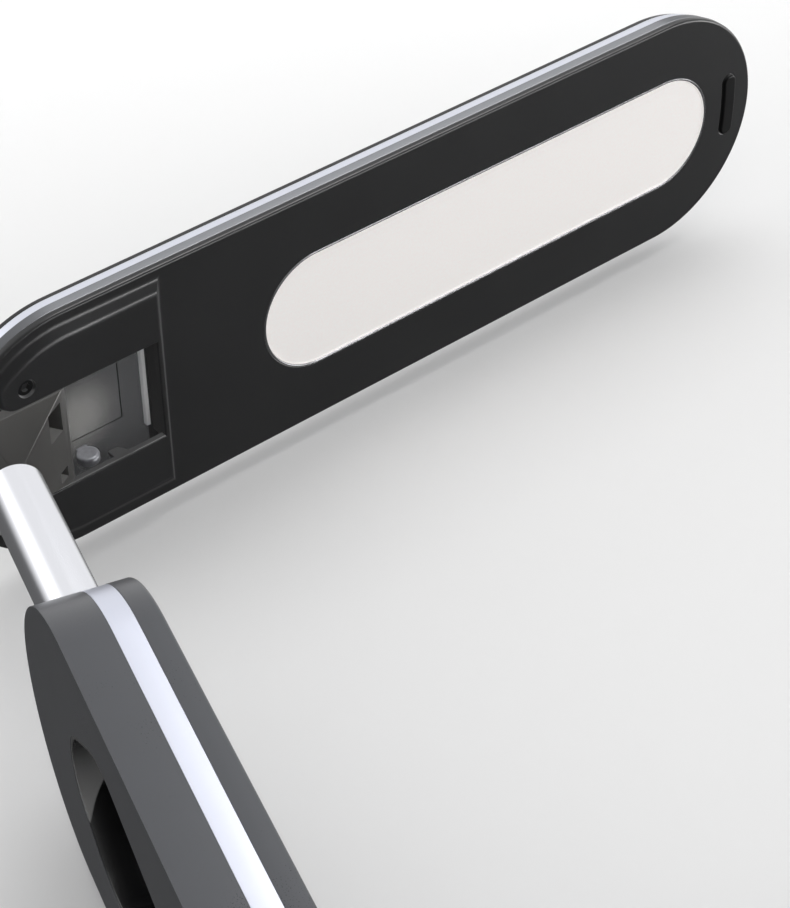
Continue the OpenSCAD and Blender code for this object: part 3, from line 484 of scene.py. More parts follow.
bm = bmesh.new()
plate(bm, ACROSS, lambda d=0.0: stem_outline(d + PLATE_IN),
      rim(STEM_MID_REAR, STEM_MID_FRONT, PLATE_EDGE, PLATE_EDGE),
      (slot_round_liner, rim(STEM_MID_REAR, STEM_MID_FRONT)))
piece("stem_silver_layer", bm, "base", anodised, "stem_band")

bm = bmesh.new()
plate(bm, ACROSS, stem_outline,
      rim(STEM_MID_FRONT + LAYER_SEAM, STEM_FRONT, LAYER_EDGE, FRONT_EDGE),
      (slot_round_liner, rim(STEM_MID_FRONT + LAYER_SEAM, STEM_FRONT, 0.0, FRONT_MOUTH)))
piece("stem_front_layer", bm, "base", slate, "stem_front_shell")

# A thin near-black sleeve lines the opening and hides the joints of the layers. Its upper
# end is painted grey, a painted light patch that fades across the opening, up to a line that
# slants through the depth of the stem.
LIT_SLANT, LIT_FROM, LIT_SOFT, LIT_SIDES = 0.95, 0.0599, 0.0003, (-0.010, 0.013)
lining = Finish("dark_liner", "opening_lining", Specular_IOR_Level=0.7)
depth = lining.node("ShaderNodeSeparateXYZ", sockets={0: lining.spot()})
across = lining.node("ShaderNodeSeparateXYZ", sockets={0: lining.spot()}, out="Y")
slant = across + depth * LIT_SLANT + LIT_FROM
painted_lit_end = lining.fade(slant, LIT_SOFT, -LIT_SOFT) * lining.fade(across, *LIT_SIDES)
fine = lining.noise(2600.0, 2.0)
# Painted light: the upper end is grey up to the slanting line.
lining.feed(Base_Color=lining.blend(painted_lit_end, tone(10, 10, 11), tone(112, 112, 112)),
            Roughness=fine * 0.1 + 0.14, Normal=lining.relief(fine, 0.002, 0.35))
bm = bmesh.new()
plate(bm, ACROSS, slot_round_liner, rim(STEM_REAR + LINER_IN, STEM_FRONT - LINER_IN),
      (slot_outline, rim(STEM_REAR + LINER_IN, STEM_FRONT - LINER_IN, LINER_EDGE, LINER_EDGE)))
piece("stem_opening_sleeve", bm, "base", lining, "opening_liner")

# Neck tube
# A drawn aluminium tube with a satin skin and faint draw marks along it. It turns in
# the stem and carries the hinge casting at its top end.
NECK_X, TUBE_LOW, TUBE_TOP, TUBE_R, TUBE_WALL = -62.0, 244.0, 318.1, 8.0, 1.0
TUBE_FOOT_EDGE, TUBE_TOP_EDGE, BORE_EDGE = 0.1, 0.25, 0.1
NECK = Matrix.Translation((NECK_X * MM, 0.0, 0.0))
drawn = Finish("tube_metal", Metallic=1.0)
marks = drawn.noise(420.0, where=drawn.spot((1.0, 1.0, 0.02)))
drawn.feed(Base_Color=drawn.blend(marks, tone(222, 223, 228), tone(234, 235, 240)),
           Roughness=marks * 0.08 + 0.20,
           Normal=drawn.relief(marks, 0.004, 0.3))
bm = bmesh.new()
plate(bm, NECK, disc(TUBE_R, 96), rim(TUBE_LOW, TUBE_TOP, TUBE_FOOT_EDGE, TUBE_TOP_EDGE),
      (disc(TUBE_R - TUBE_WALL, 96), rim(TUBE_LOW, TUBE_TOP, 0.0, BORE_EDGE)))
piece("neck_tube_drawn", bm, "neck", drawn, "neck_tube")

# Head shells
# The head is a flat pill: a thin charcoal lower shell, a silver frame round the edge
# and a charcoal top cover, all held together from inside. Its own heights start at
# the face with the light, which looks down.
PIVOT = Vector((-45.3, 0.0, 335.6))
RAISE = 16.1
PIN_X, PIN_DEPTH = -222.5, 1.9
HEAD = (Matrix.Translation(PIVOT * MM) @ Matrix.Rotation(math.radians(-RAISE), 4, "Y")
        @ Matrix.Translation(Vector((-PIN_X, 0.0, -PIN_DEPTH)) * MM))
HEAD_RUN, HEAD_R, RIDGE, SHADE_LINE_HEIGHT = 217.4, 38.7, 0.25, 4.7
HEAD_MID = -HEAD_RUN / 2
FRAME_LOW, FRAME_TOP, HEAD_TOP, FRAME_WALL = 2.1, 7.3, 8.8, 2.2
SHELL_SEAM = 0.04
SHELL = (0.0, FRAME_LOW - SHELL_SEAM)
WINDOW_RUN, WINDOW_R, TRIM_W = 134.8, 18.6, 0.6
WINDOW_MID = -WINDOW_RUN / 2
COVER_R, COVER_FRONT = 35.0, PIN_X + 35.0
SWITCH_X, SWITCH_HALF, SWITCH_W, SWITCH_BEND = 28.9, 8.25, 2.5, 110.0
WINDOW_GAP, SWITCH_GAP, COVER_GAP = 0.1, 0.3, 0.1
SHELL_EDGE, WINDOW_EDGE, SWITCH_EDGE, RECESS_EDGE = 0.75, 0.15, 0.1, 0.08
JOINT_EDGE, TOP_EDGE = 0.1, 0.5
NOSE_BACK, NOSE_SLOPE = 3.4, 1.35


def recess(inset=0.0, seg=40):
    """The D-shaped recess for the hinge cover: straight in front and round behind."""
    r = COVER_R + COVER_GAP - inset
    front = COVER_FRONT + COVER_GAP - inset
    arc = [(-HEAD_RUN + r * math.cos(math.radians(90 + 180 * k / seg)),
            r * math.sin(math.radians(90 + 180 * k / seg))) for k in range(seg + 1)]
    return [(front, -r), (front, r)] + arc


def switch_outline(inset=0.0, seg=12):
    """A rounded bar bent along a wide arc, so that it follows the round tip."""
    w = SWITCH_W - inset
    half = math.asin(SWITCH_HALF / SWITCH_BEND)
    middle = SWITCH_X - SWITCH_BEND
    ring = [(middle + (SWITCH_BEND + w) * math.cos(-half + 2 * half * k / seg),
             (SWITCH_BEND + w) * math.sin(-half + 2 * half * k / seg)) for k in range(seg + 1)]
    for side in (1, -1):
        cx, cy = middle + SWITCH_BEND * math.cos(half), side * SWITCH_BEND * math.sin(half)
        if side < 0:
            ring += [(middle + (SWITCH_BEND - w) * math.cos(half - 2 * half * k / seg),
                      (SWITCH_BEND - w) * math.sin(half - 2 * half * k / seg))
                     for k in range(seg + 1)]
        start = half if side > 0 else math.pi - half
        ring += [(cx + w * math.cos(start + math.pi * k / seg),
                  cy + w * math.sin(start + math.pi * k / seg)) for k in range(1, seg)]
    return ring


def nose(radius, steps):
    """Rings of the head whose tip is drawn back. Each step is an inset, a height, a draw."""
    return [[(x, y, h) for x, y in pill(HEAD_RUN - back, radius, 72, HEAD_MID - back / 2)(inset)]
            for inset, h, back in steps]


bm = bmesh.new()
plate(bm, HEAD, pill(HEAD_RUN, HEAD_R - RIDGE, 72, HEAD_MID),
      rim(*SHELL, SHELL_EDGE, JOINT_EDGE),
      (pill(WINDOW_RUN, WINDOW_R + TRIM_W + WINDOW_GAP, 56, WINDOW_MID),
       rim(*SHELL, WINDOW_EDGE)),
      (lambda d=0.0: switch_outline(d - SWITCH_GAP), rim(*SHELL, SWITCH_EDGE)),
      (recess, rim(*SHELL, RECESS_EDGE)))
piece("head_lower_tray", bm, "head", charcoal, "head_lower_shell")

bm = bmesh.new()
skin(bm, HEAD, nose(HEAD_R - RIDGE / 2, [
    (d, h, NOSE_BACK + (h - FRAME_TOP) * NOSE_SLOPE)
    for d, h in rim(FRAME_TOP + SHELL_SEAM, HEAD_TOP, JOINT_EDGE, TOP_EDGE)]))
piece("head_top_plate", bm, "head", charcoal, "head_top_cover")

# The frame is one strip of bent aluminium. A ridge runs along it: above the ridge it
# is bright silver, below it the colour is painted darker, a painted shade on the side that faces
# down.
LIFT = Vector((-math.sin(math.radians(RAISE)), 0.0, math.cos(math.radians(RAISE))))
SHADE_LINE_SOFT = 0.0001
framed = Finish("silver_band", "head_frame_painted_shade", Metallic=1.0)
height = framed.vector("DOT_PRODUCT", framed.spot(), LIFT, out=1)
shade_line = (PIVOT * MM).dot(LIFT) + (SHADE_LINE_HEIGHT - PIN_DEPTH) * MM
lit_above_shade_line = framed.fade(height, shade_line - SHADE_LINE_SOFT, shade_line + SHADE_LINE_SOFT)
grain = framed.noise(1100.0, 2.0)
# Painted shade: the frame's colour is darker below the ridge line.
framed.feed(Base_Color=framed.blend(lit_above_shade_line, tone(104, 105, 108), tone(216, 218, 228)),
            Roughness=grain * 0.08 + 0.30,
            Normal=framed.relief(grain, 0.004, 0.3))
frame_face = [(RIDGE + 0.15, FRAME_LOW, 0.0), (RIDGE + 0.05, 2.15, 0.0), (RIDGE, 2.3, 0.0),
              (0.05, 4.45, 1.4), (0.0, 4.62, 1.5), (0.02, 4.8, 1.65), (0.07, 5.9, 2.4),
              (RIDGE / 2, 7.1, 3.25), (RIDGE / 2 + 0.1, 7.28, NOSE_BACK)]
frame_inside = [(0.0, FRAME_LOW, 0.0), (0.0, 7.28, NOSE_BACK)]
bm = bmesh.new()
skin(bm, HEAD, nose(HEAD_R, frame_face), nose(HEAD_R - FRAME_WALL, frame_inside))
piece("head_edge_frame", bm, "head", framed, "head_frame")

# Light window
# A milky diffuser sheet fills the window, a thin grey rim holds its edge. The sheet
# is satin with a very fine dot grain from the light guide behind it.
SHEET_GAP, SHEET_MIDDLE, RIM_PROUD, RIM_OUTER, RIM_INNER = 0.05, 0.55, -0.1, 0.15, 0.3
# The sheet glows faintly: painted light that brightens it like a white sheet in full light.
milky = Finish("diffuser", Roughness=0.5, Specular_IOR_Level=0.4, Emission_Strength=0.2,
               Emission_Color=tone(236, 232, 229))
dots = milky.noise(1400.0, 1.0)
milky.feed(Base_Color=milky.blend(dots, tone(231, 227, 225), tone(240, 237, 235)),
           Roughness=dots * 0.1 + 0.42,
           Normal=milky.relief(dots, 0.004, 0.2))
sheet_edge = [(0.62, SHEET_MIDDLE), (0.5, SHEET_MIDDLE), (0.4, 0.52), (0.3, 0.2), (0.24, 0.12),
              (0.12, 0.1), (0.0, 0.14), (0.0, FRAME_LOW)]
bm = bmesh.new()
plate(bm, HEAD, pill(WINDOW_RUN, WINDOW_R - SHEET_GAP, 64, WINDOW_MID), sheet_edge)
piece("light_diffuser_sheet", bm, "head", milky, "diffuser")

grey_rim = moulded("grey_trim", tone(128, 128, 130), 0.25, 0.003, Metallic=0.7)
bm = bmesh.new()
plate(bm, HEAD, pill(WINDOW_RUN, WINDOW_R + TRIM_W, 64, WINDOW_MID),
      rim(RIM_PROUD, FRAME_LOW, RIM_OUTER),
      (pill(WINDOW_RUN, WINDOW_R, 64, WINDOW_MID), rim(RIM_PROUD, FRAME_LOW, RIM_INNER)))
piece("light_window_rim", bm, "head", grey_rim, "diffuser_trim")

# Head switch
# A touch bar of black rubbery plastic with a domed face near the tip. A flange behind
# the shell keeps it in its hole.
BAR_PROUD, BAR_EDGE, BAR_FLANGE, BAR_BACK = -0.9, 0.7, -0.8, 3.4
bm = bmesh.new()
dome = [(BAR_FLANGE, BAR_BACK), (BAR_FLANGE, 2.4), (0.0, 2.35)]
dome += rim(BAR_PROUD, 0.0, BAR_EDGE, 0.0, 7)[::-1]
plate(bm, HEAD, switch_outline, dome)
piece("head_touch_bar", bm, "head_switch", button_black, "head_switch")

# Hinge cover
# The raised charcoal cover over the hinge. Its sloping edge meets the shell in a soft
# hollow, and two arms reach back beside the bay that the neck casting moves in.
BAY_HALF, BAY_FRONT, ARM_END = 16.2, COVER_FRONT - 3.0, PIN_X - 18.0
BAY_UNDER, LIP_LOW, LIP_DROP, COVER_FACE = 3.6, 0.2, 1.45, -2.0
FRONT_DRAW, BAY_DRAW, ARM_DRAW, ARM_CURL = 0.58, 0.6, 0.6, 0.6
SCREW_X, SCREW_Y, WELL_R = PIN_X - 8.7, 21.6, 2.75
WALL_HALF, WALL_THICK, WALL_REACH = 17.4, 1.2, (0.3, 4.3)
RIB_Y, RIB_THICK = 16.2, 1.2
RIB = ((-206.5, -1.6), (-200.6, -1.6), (-203.4, 3.1), (-206.5, 3.1))
SIDE_ON = Matrix(((1, 0, 0, 0), (0, 0, 1, 0), (0, 1, 0, 0), (0, 0, 0, 1)))


def grow(target, bm):
    """Adds the shape in bm to a piece."""
    bmesh.ops.recalc_face_normals(bm, faces=bm.faces)
    bm.from_mesh(target.data)
    bm.to_mesh(target.data)
    bm.free()
    target.data.shade_smooth()
    target.data.set_sharp_from_angle(angle=SHARP)


def bent(start, corner, end, seg=6):
    """Points along a curve that rounds a corner of a profile."""
    return [tuple((1 - t) ** 2 * a + 2 * t * (1 - t) * b + t * t * c
                  for a, b, c in zip(start, corner, end))
            for t in [k / seg for k in range(seg + 1)]]


def cover_ring(inset, out_h, side_w, front_w, in_h, seg=30, tip=9):
    """One ring of the cover: its outer edge drawn in, its bay widened at sides and front."""
    r = COVER_R - inset
    side, front = BAY_HALF + side_w, BAY_FRONT + front_w * BAY_DRAW
    lead = COVER_FRONT - inset * (FRONT_DRAW if inset > 0 else 1.0)
    stop = math.acos((ARM_END + inset * ARM_DRAW + HEAD_RUN) / r)
    half = [(lead, r, out_h)]
    for k in range(seg + 1):
        a = math.pi / 2 + (stop - math.pi / 2) * k / seg
        half.append((-HEAD_RUN + r * math.cos(a), r * math.sin(a), out_h))
    end_x, end_y, _ = half[-1]
    curl = (end_y - side) * ARM_CURL
    for k in range(1, tip + 1):
        t = k / tip
        x = (1 - t) ** 2 * end_x + 2 * t * (1 - t) * (end_x - 1.0) + t * t * (end_x + curl)
        y = (1 - t) ** 2 * end_y + 2 * t * (1 - t) * side + t * t * side
        half.append((x, y, out_h + (in_h - out_h) * t))
    half.append((front, side, in_h))
    return half + [(x, -y, h) for x, y, h in half[::-1]]


outer = [(0.0, FRAME_LOW), (0.0, 0.1), (-0.5, 0.0)]
outer += bent((-0.9, -0.02), (0.0, -0.02), (0.75, -0.5))
outer += bent((2.2, -1.47), (3.0, COVER_FACE), (4.0, COVER_FACE)) + [(4.2, COVER_FACE)]
inner = [(BAY_UNDER, 0.0, FRAME_LOW), (BAY_UNDER, 0.0, LIP_LOW + 0.05), (0.2, 0.0, LIP_LOW)]
inner += [(0.0, 0.0, LIP_LOW - 0.1 - LIP_DROP * k / 7) for k in range(8)]
inner += [(d, d, h) for d, h in rim(COVER_FACE, 0.0, 0.6)[:7][::-1]]
bm = bmesh.new()
skin(bm, HEAD, [cover_ring(d, h, *bay) for (d, h), bay in zip(outer, inner)])
cover = piece("hinge_cover_raised", bm, "head", charcoal, "hinge_cover")

# Two round wells for the screws, a front wall below the bay and a rib beside the barrel.
bm = bmesh.new()
for side in (-1, 1):
    plate(bm, HEAD, disc(WELL_R, 40, SCREW_X, side * SCREW_Y), rim(COVER_FACE - 1.0, -0.1))
cut(cover, bm)
bm = bmesh.new()
plate(bm, HEAD, box(BAY_FRONT - 0.02, BAY_FRONT + WALL_THICK, -WALL_HALF, WALL_HALF, 0.2),
      rim(*WALL_REACH))
plate(bm, HEAD @ Matrix.Translation((0.0, RIB_Y * MM, 0.0)) @ SIDE_ON,
      lambda d=0.0: RIB, rim(0.0, RIB_THICK))
grow(cover, bm)

# Cover screws
# Two black socket screws hold the cover to the hinge leaf; their heads sit in wells
# and have a six-sided socket with a floor.
SCREW_R, SCREW_EDGE, SCREW_REACH = 2.5, 0.3, (-1.2, 0.8)
SOCKET_R, SOCKET_EDGE, FLOOR_R, FLOOR_REACH = 1.39, 0.08, 1.6, (0.4, 0.7)
blackened = Finish("black_screw", Metallic=0.7)
soot = blackened.noise(900.0)
blackened.feed(Base_Color=blackened.blend(soot, tone(14, 14, 15), tone(22, 22, 23)),
               Roughness=soot * 0.15 + 0.32)
bm = bmesh.new()
for side in (-1, 1):
    y = side * SCREW_Y
    plate(bm, HEAD, disc(SCREW_R, 40, SCREW_X, y), rim(*SCREW_REACH, SCREW_EDGE),
          (disc(SOCKET_R, 6, SCREW_X, y), rim(*SCREW_REACH, SOCKET_EDGE)))
    plate(bm, HEAD, disc(FLOOR_R, 24, SCREW_X, y), rim(*FLOOR_REACH))
piece("hinge_cover_screws", bm, "head", blackened, "cover_screws")

# Neck casting
# A flared die casting with a smooth dark coat. It grows from the round tube to the wide
# knuckle on the hinge pin, and two pockets are sunk into its front face. A bevel is
# the least angle in degrees and length in mm of the edges that it rounds, and its width.
KNUCKLE_R, CAST_HALF, CAST_FRONT, CAST_SLOPE = 3.7, 15.6, -58.0, 43.14
FOOT_R, FOOT_HIGH = 7.9, 0.4
SHOULDER_X, SHOULDER_Z = (-66.6, -64.6), (326.2, 326.7)
FLAT_ANGLE = 0.8
BEVELS = ((12, 3.0, 0.6), (55, 0.0, 0.15))
coated = Finish("bracket_metal", Metallic=0.25, Coat_Roughness=0.25)
patch = coated.noise(60.0, 2.0)
grain = coated.noise(1900.0, 2.0)
coated.feed(Base_Color=coated.blend(patch, tone(52, 51, 50), tone(74, 73, 71)),
            Roughness=grain * 0.08 + 0.30, Coat_Weight=patch * 0.1 + 0.1,
            Normal=coated.relief(grain, 0.006, 0.35))
bm = bmesh.new()
foot = [(NECK_X + FOOT_R * math.cos(math.radians(a)), FOOT_R * math.sin(math.radians(a)))
        for a in range(90, 271, 6)] + [(CAST_FRONT, -FOOT_R), (CAST_FRONT, FOOT_R)]
for x, y in foot:
    for z in (TUBE_TOP, TUBE_TOP + FOOT_HIGH):
        bm.verts.new(Vector((x, y, z)) * MM)
for y in (-CAST_HALF, CAST_HALF):
    for a in range(0, 360, 10):
        bm.verts.new(Vector((PIVOT.x + KNUCKLE_R * math.cos(math.radians(a)), y,
                             PIVOT.z + KNUCKLE_R * math.sin(math.radians(a)))) * MM)
    for x in SHOULDER_X:
        for z in SHOULDER_Z:
            bm.verts.new(Vector((x, y, z)) * MM)
made = bmesh.ops.convex_hull(bm, input=bm.verts)
loose = {v for v in made["geom_interior"] + made["geom_unused"]
         if isinstance(v, bmesh.types.BMVert)}
bmesh.ops.delete(bm, geom=list(loose), context="VERTS")
bmesh.ops.dissolve_limit(bm, angle_limit=math.radians(FLAT_ANGLE), verts=bm.verts,
                         edges=bm.edges)
bmesh.ops.recalc_face_normals(bm, faces=bm.faces)
for least_angle, least_length, width in BEVELS:
    hard = [e for e in bm.edges
            if len(e.link_faces) == 2 and e.calc_length() > least_length * MM
            and e.calc_face_angle() > math.radians(least_angle)]
    bmesh.ops.bevel(bm, geom=hard, offset=width * MM, offset_type="OFFSET", segments=3,
                    profile=0.5, affect="EDGES", clamp_overlap=True)
casting = piece("neck_casting", bm, "neck", coated, "neck_bracket")

# The pockets are cut square to the sloping front face, each to a floor of its own.
POCKETS = (((-5.0, 5.0, -12.6, -3.2), 13.0), ((-3.0, 3.0, 9.0, 12.6), 15.7))
POCKET_OUT, POCKET_CORNER = 19.4, 0.2
SLOPING = (Matrix.Translation((CAST_FRONT * MM, 0.0, TUBE_TOP * MM))
           @ Matrix.Rotation(math.radians(CAST_SLOPE), 4, "Y"))
bm = bmesh.new()
for sides, floor in POCKETS:
    plate(bm, SLOPING, box(*sides, POCKET_CORNER), rim(floor, POCKET_OUT))
cut(casting, bm)

# Hinge barrel
# A short brushed steel drum fixed to the hinge leaf, near the pin. The leaf and the
# flap are of brushed steel too, with a patch painted bright near the pin: a painted highlight.
BARREL_X, BARREL_Y, BARREL_Z, BARREL_R = PIN_X + 9.5, 12.9, 2.8, 3.3
BARREL_LONG, BARREL_EDGE, SADDLE_HALF = 3.0, 0.9, 1.65
GLOW_SPOT, GLOW_OUT, GLOW_IN = (-213.5, 3.0, 5.9), 0.016, 0.002
brushed = Finish("leaf_steel", Metallic=0.75)
lines = brushed.noise(700.0, where=brushed.spot((1.0, 0.02, 1.0)))
mist = brushed.noise(18.0, 1.0)
reach = brushed.vector(
    "LENGTH", brushed.vector("SUBTRACT", brushed.spot(), HEAD @ (Vector(GLOW_SPOT) * MM)), out=1)
# Painted highlight: the steel is bright near the glow spot, with a random mist.
painted_glow_and_mist = brushed.fade(reach, GLOW_OUT, GLOW_IN) * 0.8 + mist * 0.2
brushed.feed(Base_Color=brushed.blend(painted_glow_and_mist, tone(122, 123, 126), tone(222, 221, 218)),
             Roughness=lines * 0.10 + 0.20,
             Normal=brushed.relief(lines, 0.006, 0.35))
SIDEWAYS = (HEAD @ Matrix.Translation(Vector((BARREL_X, BARREL_Y, BARREL_Z)) * MM)
            @ SIDE_ON)
bm = bmesh.new()
plate(bm, SIDEWAYS, disc(BARREL_R, 48), rim(0.0, BARREL_LONG, BARREL_EDGE, BARREL_EDGE))
plate(bm, SIDEWAYS, box(-SADDLE_HALF, SADDLE_HALF, 0.0, BARREL_R, 0.2),
      rim(0.1, BARREL_LONG - 0.1))
# The drum's steel is a darker copy of the leaf's: painted shade.
shaded_drum = Finish("leaf_steel", "barrel_steel_shaded", Metallic=0.6)
lines = shaded_drum.noise(700.0, where=shaded_drum.spot((1.0, 0.02, 1.0)))
shaded_drum.feed(Base_Color=shaded_drum.blend(lines, tone(90, 91, 95), tone(122, 123, 127)),
          Roughness=lines * 0.10 + 0.34, Normal=shaded_drum.relief(lines, 0.006, 0.35))
piece("hinge_barrel_drum", bm, "head", shaded_drum, "hinge_barrel")

# Hinge flap and lip
# A loose flap of thin sheet lies on the leaf. A thin black sheet under it shows as a
# seam round its edge, a painted shadow line. The leaf's front edge is bent down into a lip whose
# near-white colour is a painted highlight.
FLAP_X, FLAP_Y, FLAP_REACH, FLAP_EDGE = (-217.4, -199.4), (-15.9, 9.4), (5.75, 6.0), 0.1
SHADOW_LINE_SHOWS, SHADOW_LINE_REACH = 0.45, (5.98, 6.08)
LIP_X, LIP_HALF, LIP_REACH, LIP_EDGE = (-192.15, -190.85), 15.9, (4.55, 6.08), 0.35
liner_black_and_painted_shadow = moulded("dark_liner", tone(10, 10, 11), 0.16, 0.002, Specular_IOR_Level=0.7)

bm = bmesh.new()
plate(bm, HEAD, box(*FLAP_X, *FLAP_Y, 0.4), rim(*FLAP_REACH, FLAP_EDGE))
piece("hinge_flap_sheet", bm, "head", brushed, "hinge_flap")
# A thin black sheet round the flap's edge: a painted shadow line.
bm = bmesh.new()
plate(bm, HEAD, box(FLAP_X[0], FLAP_X[1] + SHADOW_LINE_SHOWS, FLAP_Y[0], FLAP_Y[1] + SHADOW_LINE_SHOWS, 0.4),
      rim(*SHADOW_LINE_REACH))
piece("hinge_flap_shadow_line", bm, "head", liner_black_and_painted_shadow)

# The lip's near-white colour is a painted highlight.
painted_bright_lip = Finish("leaf_steel", "leaf_lip", Metallic=0.2)
wear = painted_bright_lip.noise(300.0, where=painted_bright_lip.spot((1.0, 0.05, 1.0)))
painted_bright_lip.feed(Base_Color=painted_bright_lip.blend(wear, tone(222, 223, 224), tone(236, 236, 236)),
              Roughness=wear * 0.1 + 0.2)
bm = bmesh.new()
plate(bm, HEAD, box(*LIP_X, -LIP_HALF, LIP_HALF, 0.15), rim(*LIP_REACH, LIP_EDGE))
piece("hinge_leaf_lip", bm, "head", painted_bright_lip)

# Inner pieces
# What the shells hide: steel, copper, boards and plain plastics. The solids from the
# construction are shown as they are, each with a finish of its own kind.


def metal(slot, colour, roughness, scale=500.0, metallic=1.0):
    """Plain metal with faint marks."""
    finish = Finish(slot, Metallic=metallic)
    marks = finish.noise(scale)
    return finish.feed(Base_Color=finish.blend(marks, shade(colour, 0.92), shade(colour, 1.06)),
                       Roughness=marks * 0.14 + (roughness - 0.07),
                       Normal=finish.relief(marks, 0.01, 0.3))


finishes = [
    charcoal, slate, anodised, drawn, coated, brushed, blackened, grip_rubber, soft_rubber,
    milky, grey_rim, button_black, liner_black_and_painted_shadow, frosted,
    metal("steel", tone(176, 177, 178), 0.34),
    metal("ballast_steel", tone(88, 88, 90), 0.55, 200.0, 0.6),
    metal("coil_copper", tone(190, 118, 70), 0.36, 900.0),
    moulded("ferrite", tone(52, 52, 54), 0.6, 0.03, 900.0),
    moulded("board", tone(30, 92, 54), 0.42, 0.01, 1200.0),
    moulded("white_plastic", tone(222, 222, 218), 0.45, 0.01),
    moulded("bush_plastic", tone(208, 198, 166), 0.48, 0.01),
    moulded("clear_guide", tone(232, 238, 242), 0.12, 0.002, Transmission_Weight=0.9),
    moulded("light_chip", tone(240, 222, 150), 0.25, 0.005),
]
by_slot = {finish.slot: finish for finish in finishes}
for part in frame["record"]["subparts"]:
    solid = frame["nodes"][part["node"]]
    solid.data.materials.clear()
    solid.data.materials.append(by_slot[part["material_slot"]].material)

# Floor and backdrop
# Pale paper under the lamp and close beside it, for the soft shadow of the head. Both
# are clear from behind and aren't mirrored. The paper is painted lighter high up on the
# wall, a painted gradient of light, and the wall steps a little nearer to the lamp above its
# foot.
FLOOR_WIDE, WALL_WIDE, WALL_HIGH, WALL_ROWS = 12, 8, 5, 160
WALL_Y, COVE, COVE_LOW, COVE_TALL = 57.0 * MM, 11.0 * MM, 0.06, 0.10
PAINTED_LIGHT_TONES = ((0.0, 0.84), (0.20, 0.85), (0.33, 0.85), (0.42, 0.84), (0.64, 1.0))
scene = bpy.context.scene
scene.view_settings.view_transform = "Standard"

paper = Finish("paper", Roughness=0.95, Specular_IOR_Level=0.1)
height = paper.node("ShaderNodeSeparateXYZ", sockets={0: paper.spot()}, out=2)
# Painted light: the paper is lighter high up on the wall.
painted_light_ramp = paper.node("ShaderNodeValToRGB", {"stops": [
    (at, (grey, grey, grey, 1)) for at, grey in PAINTED_LIGHT_TONES]}, {0: height})
paper.feed(Base_Color=painted_light_ramp, Roughness=paper.noise(6.0) * 0.04 + 0.93)
back = paper.node("ShaderNodeNewGeometry", out="Backfacing")
clear = paper.node("ShaderNodeBsdfTransparent")
one_sided = paper.node("ShaderNodeMixShader", sockets={
    0: back, 1: Level(paper, paper.shader.outputs[0]), 2: clear})
paper.join(one_sided, paper.tree.nodes["Material Output"].inputs["Surface"])


def stage_sheet(name, point, rows):
    """A sheet of paper in a number of rows; point gives its place from two shares."""
    bm = bmesh.new()
    grid = [[bm.verts.new(point(i, j / rows)) for i in (0, 1)] for j in range(rows + 1)]
    for low, high in zip(grid, grid[1:]):
        bm.faces.new((low[0], low[1], high[1], high[0]))
    mesh = bpy.data.meshes.new(name)
    bm.to_mesh(mesh)
    bm.free()
    mesh.shade_smooth()
    mesh.materials.append(paper.material)
    made = bpy.data.objects.new(name, mesh)
    scene.collection.objects.link(made)
    made.visible_glossy = False
    made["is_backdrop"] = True


def floor_point(s, t):
    return ((s - 0.5) * FLOOR_WIDE, (t - 0.5) * FLOOR_WIDE, 0.0)


def wall_point(s, t):
    z = WALL_HIGH * t * t
    ease = min(max((z - COVE_LOW) / COVE_TALL, 0.0), 1.0)
    return ((s - 0.5) * WALL_WIDE, WALL_Y - COVE * ease * ease * (3 - 2 * ease), z)


stage_sheet("floor", floor_point, 1)
stage_sheet("wall", wall_point, WALL_ROWS)

# Sky and key lamp
# The sky is white to the camera and through clear plastic, and even on matt surfaces.
# Only in reflections is it a broad softbox with small bright patches, which draw the
# lines of light on edges and metal. A patch is a direction, where it starts and is
# full, and its strength. One large soft lamp stands in front, to the right.
SOFTBOX, SKYWARD = (0.485, -0.875, 0.0), (0, 0, 1)
SOFTBOX_LIGHT, DIM_LIGHT, EVEN_LIGHT = 0.88, 0.13, 0.85
PATCHES = (
    ((0.69, 0.08, -0.72), 0.98, 0.999, 16.0),
    ((0.95, 0.05, -0.3), 0.93, 0.99, 9.0),
    ((0.45, -0.876, 0.17), 0.955, 0.995, 13.0),
    ((-0.62, -0.36, 0.7), 0.88, 1.0, 0.9),
    ((0.0, -0.93, -0.37), 0.75, 0.97, 0.6),
)
KEY_PLACE, KEY_AIM, KEY_ENERGY, KEY_SIZE = (0.45, -1.25, 0.75), (0.0, 0.0, 0.3), 6.0, 1.2
world = bpy.data.worlds.new("sky")
scene.world = world
world.use_nodes = True
sky = Nodes(world.node_tree)
toward = sky.node("ShaderNodeTexCoord", out="Generated")


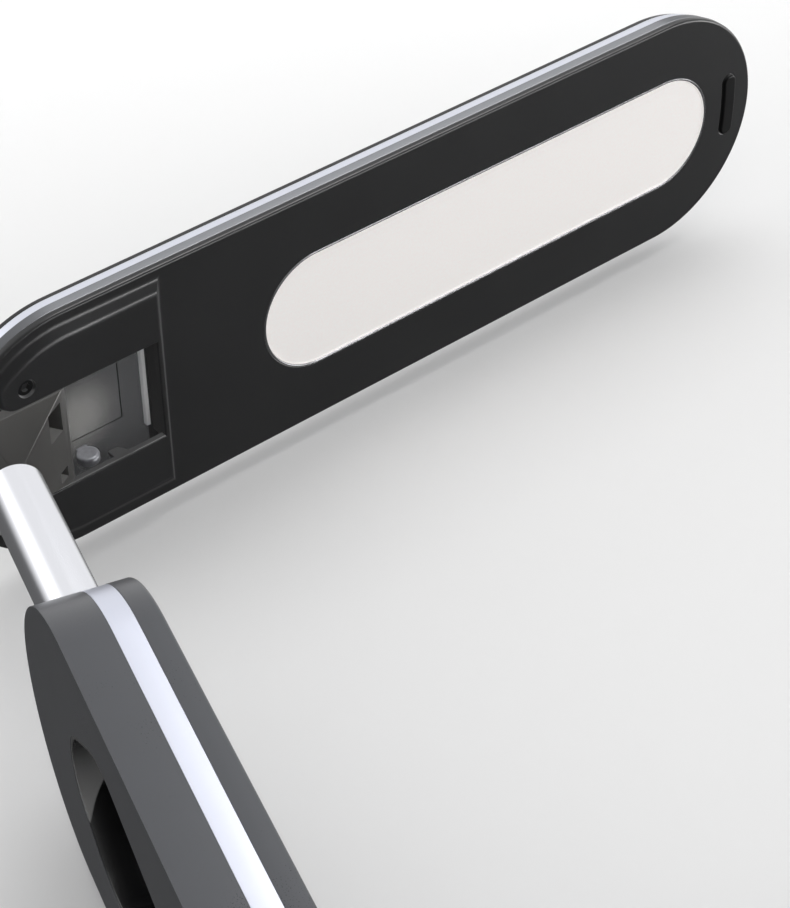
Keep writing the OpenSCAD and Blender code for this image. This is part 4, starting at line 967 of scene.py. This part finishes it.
def lobe(direction, start, stop):
    """How far the sky is seen near one direction, from 0 to 1."""
    return sky.fade(sky.vector("DOT_PRODUCT", toward, direction, 1), start, stop)


camera_ray = sky.node("ShaderNodeLightPath", out="Is Camera Ray")
glossy_ray = sky.node("ShaderNodeLightPath", out="Is Glossy Ray")
through_ray = sky.node("ShaderNodeLightPath", out="Is Transmission Ray")
mirrored = lobe(SOFTBOX, -0.20, 0.0) * lobe(SKYWARD, -0.15, 0.2) * SOFTBOX_LIGHT
for direction, start, stop, strength in PATCHES:
    mirrored = mirrored + lobe(direction, start, stop) * strength
mirrored = mirrored + DIM_LIGHT
plain = 1.0 - glossy_ray - camera_ray - through_ray
background = world.node_tree.nodes["Background"]
background.inputs["Color"].default_value = (1.0, 1.0, 1.0, 1.0)
sky.join(glossy_ray * mirrored + camera_ray + through_ray + plain * EVEN_LIGHT,
         background.inputs["Strength"])

key = bpy.data.lights.new("key", "AREA")
key.energy, key.size = KEY_ENERGY, KEY_SIZE
lamp = bpy.data.objects.new("key", key)
scene.collection.objects.link(lamp)
lamp.location = KEY_PLACE
lamp.visible_glossy = False
lamp.rotation_euler = (Vector(KEY_AIM) - lamp.location).to_track_quat("-Z", "Y").to_euler()

# The view
# The camera was fitted to the outlines in the photograph. Reflections show only the
# sky, the stem, the base and the tube.
EYE, FOCAL, SENSOR = (-159.9, -418.3, -164.4), 97.79, 36.0
RIGHT, AHEAD = (0.9166, 0.0108, -0.3997), (0.2986, 0.6462, 0.7023)
view = bpy.data.cameras.new("photo_view")
view.lens, view.sensor_width = FOCAL, SENSOR
view.clip_start, view.clip_end = 0.01, 20.0
camera = bpy.data.objects.new("photo_view", view)
scene.collection.objects.link(camera)
right = Vector(RIGHT).normalized()
ahead = Vector(AHEAD).normalized()
up = right.cross(ahead).normalized()
right = ahead.cross(up).normalized()
camera.matrix_world = Matrix.Translation(Vector(EYE) * MM) @ Matrix(
    (right, up, -ahead)).transposed().to_4x4()
scene.camera = camera

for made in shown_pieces():
    made.visible_glossy = made.name.startswith(("stem", "neck_tube", "base"))
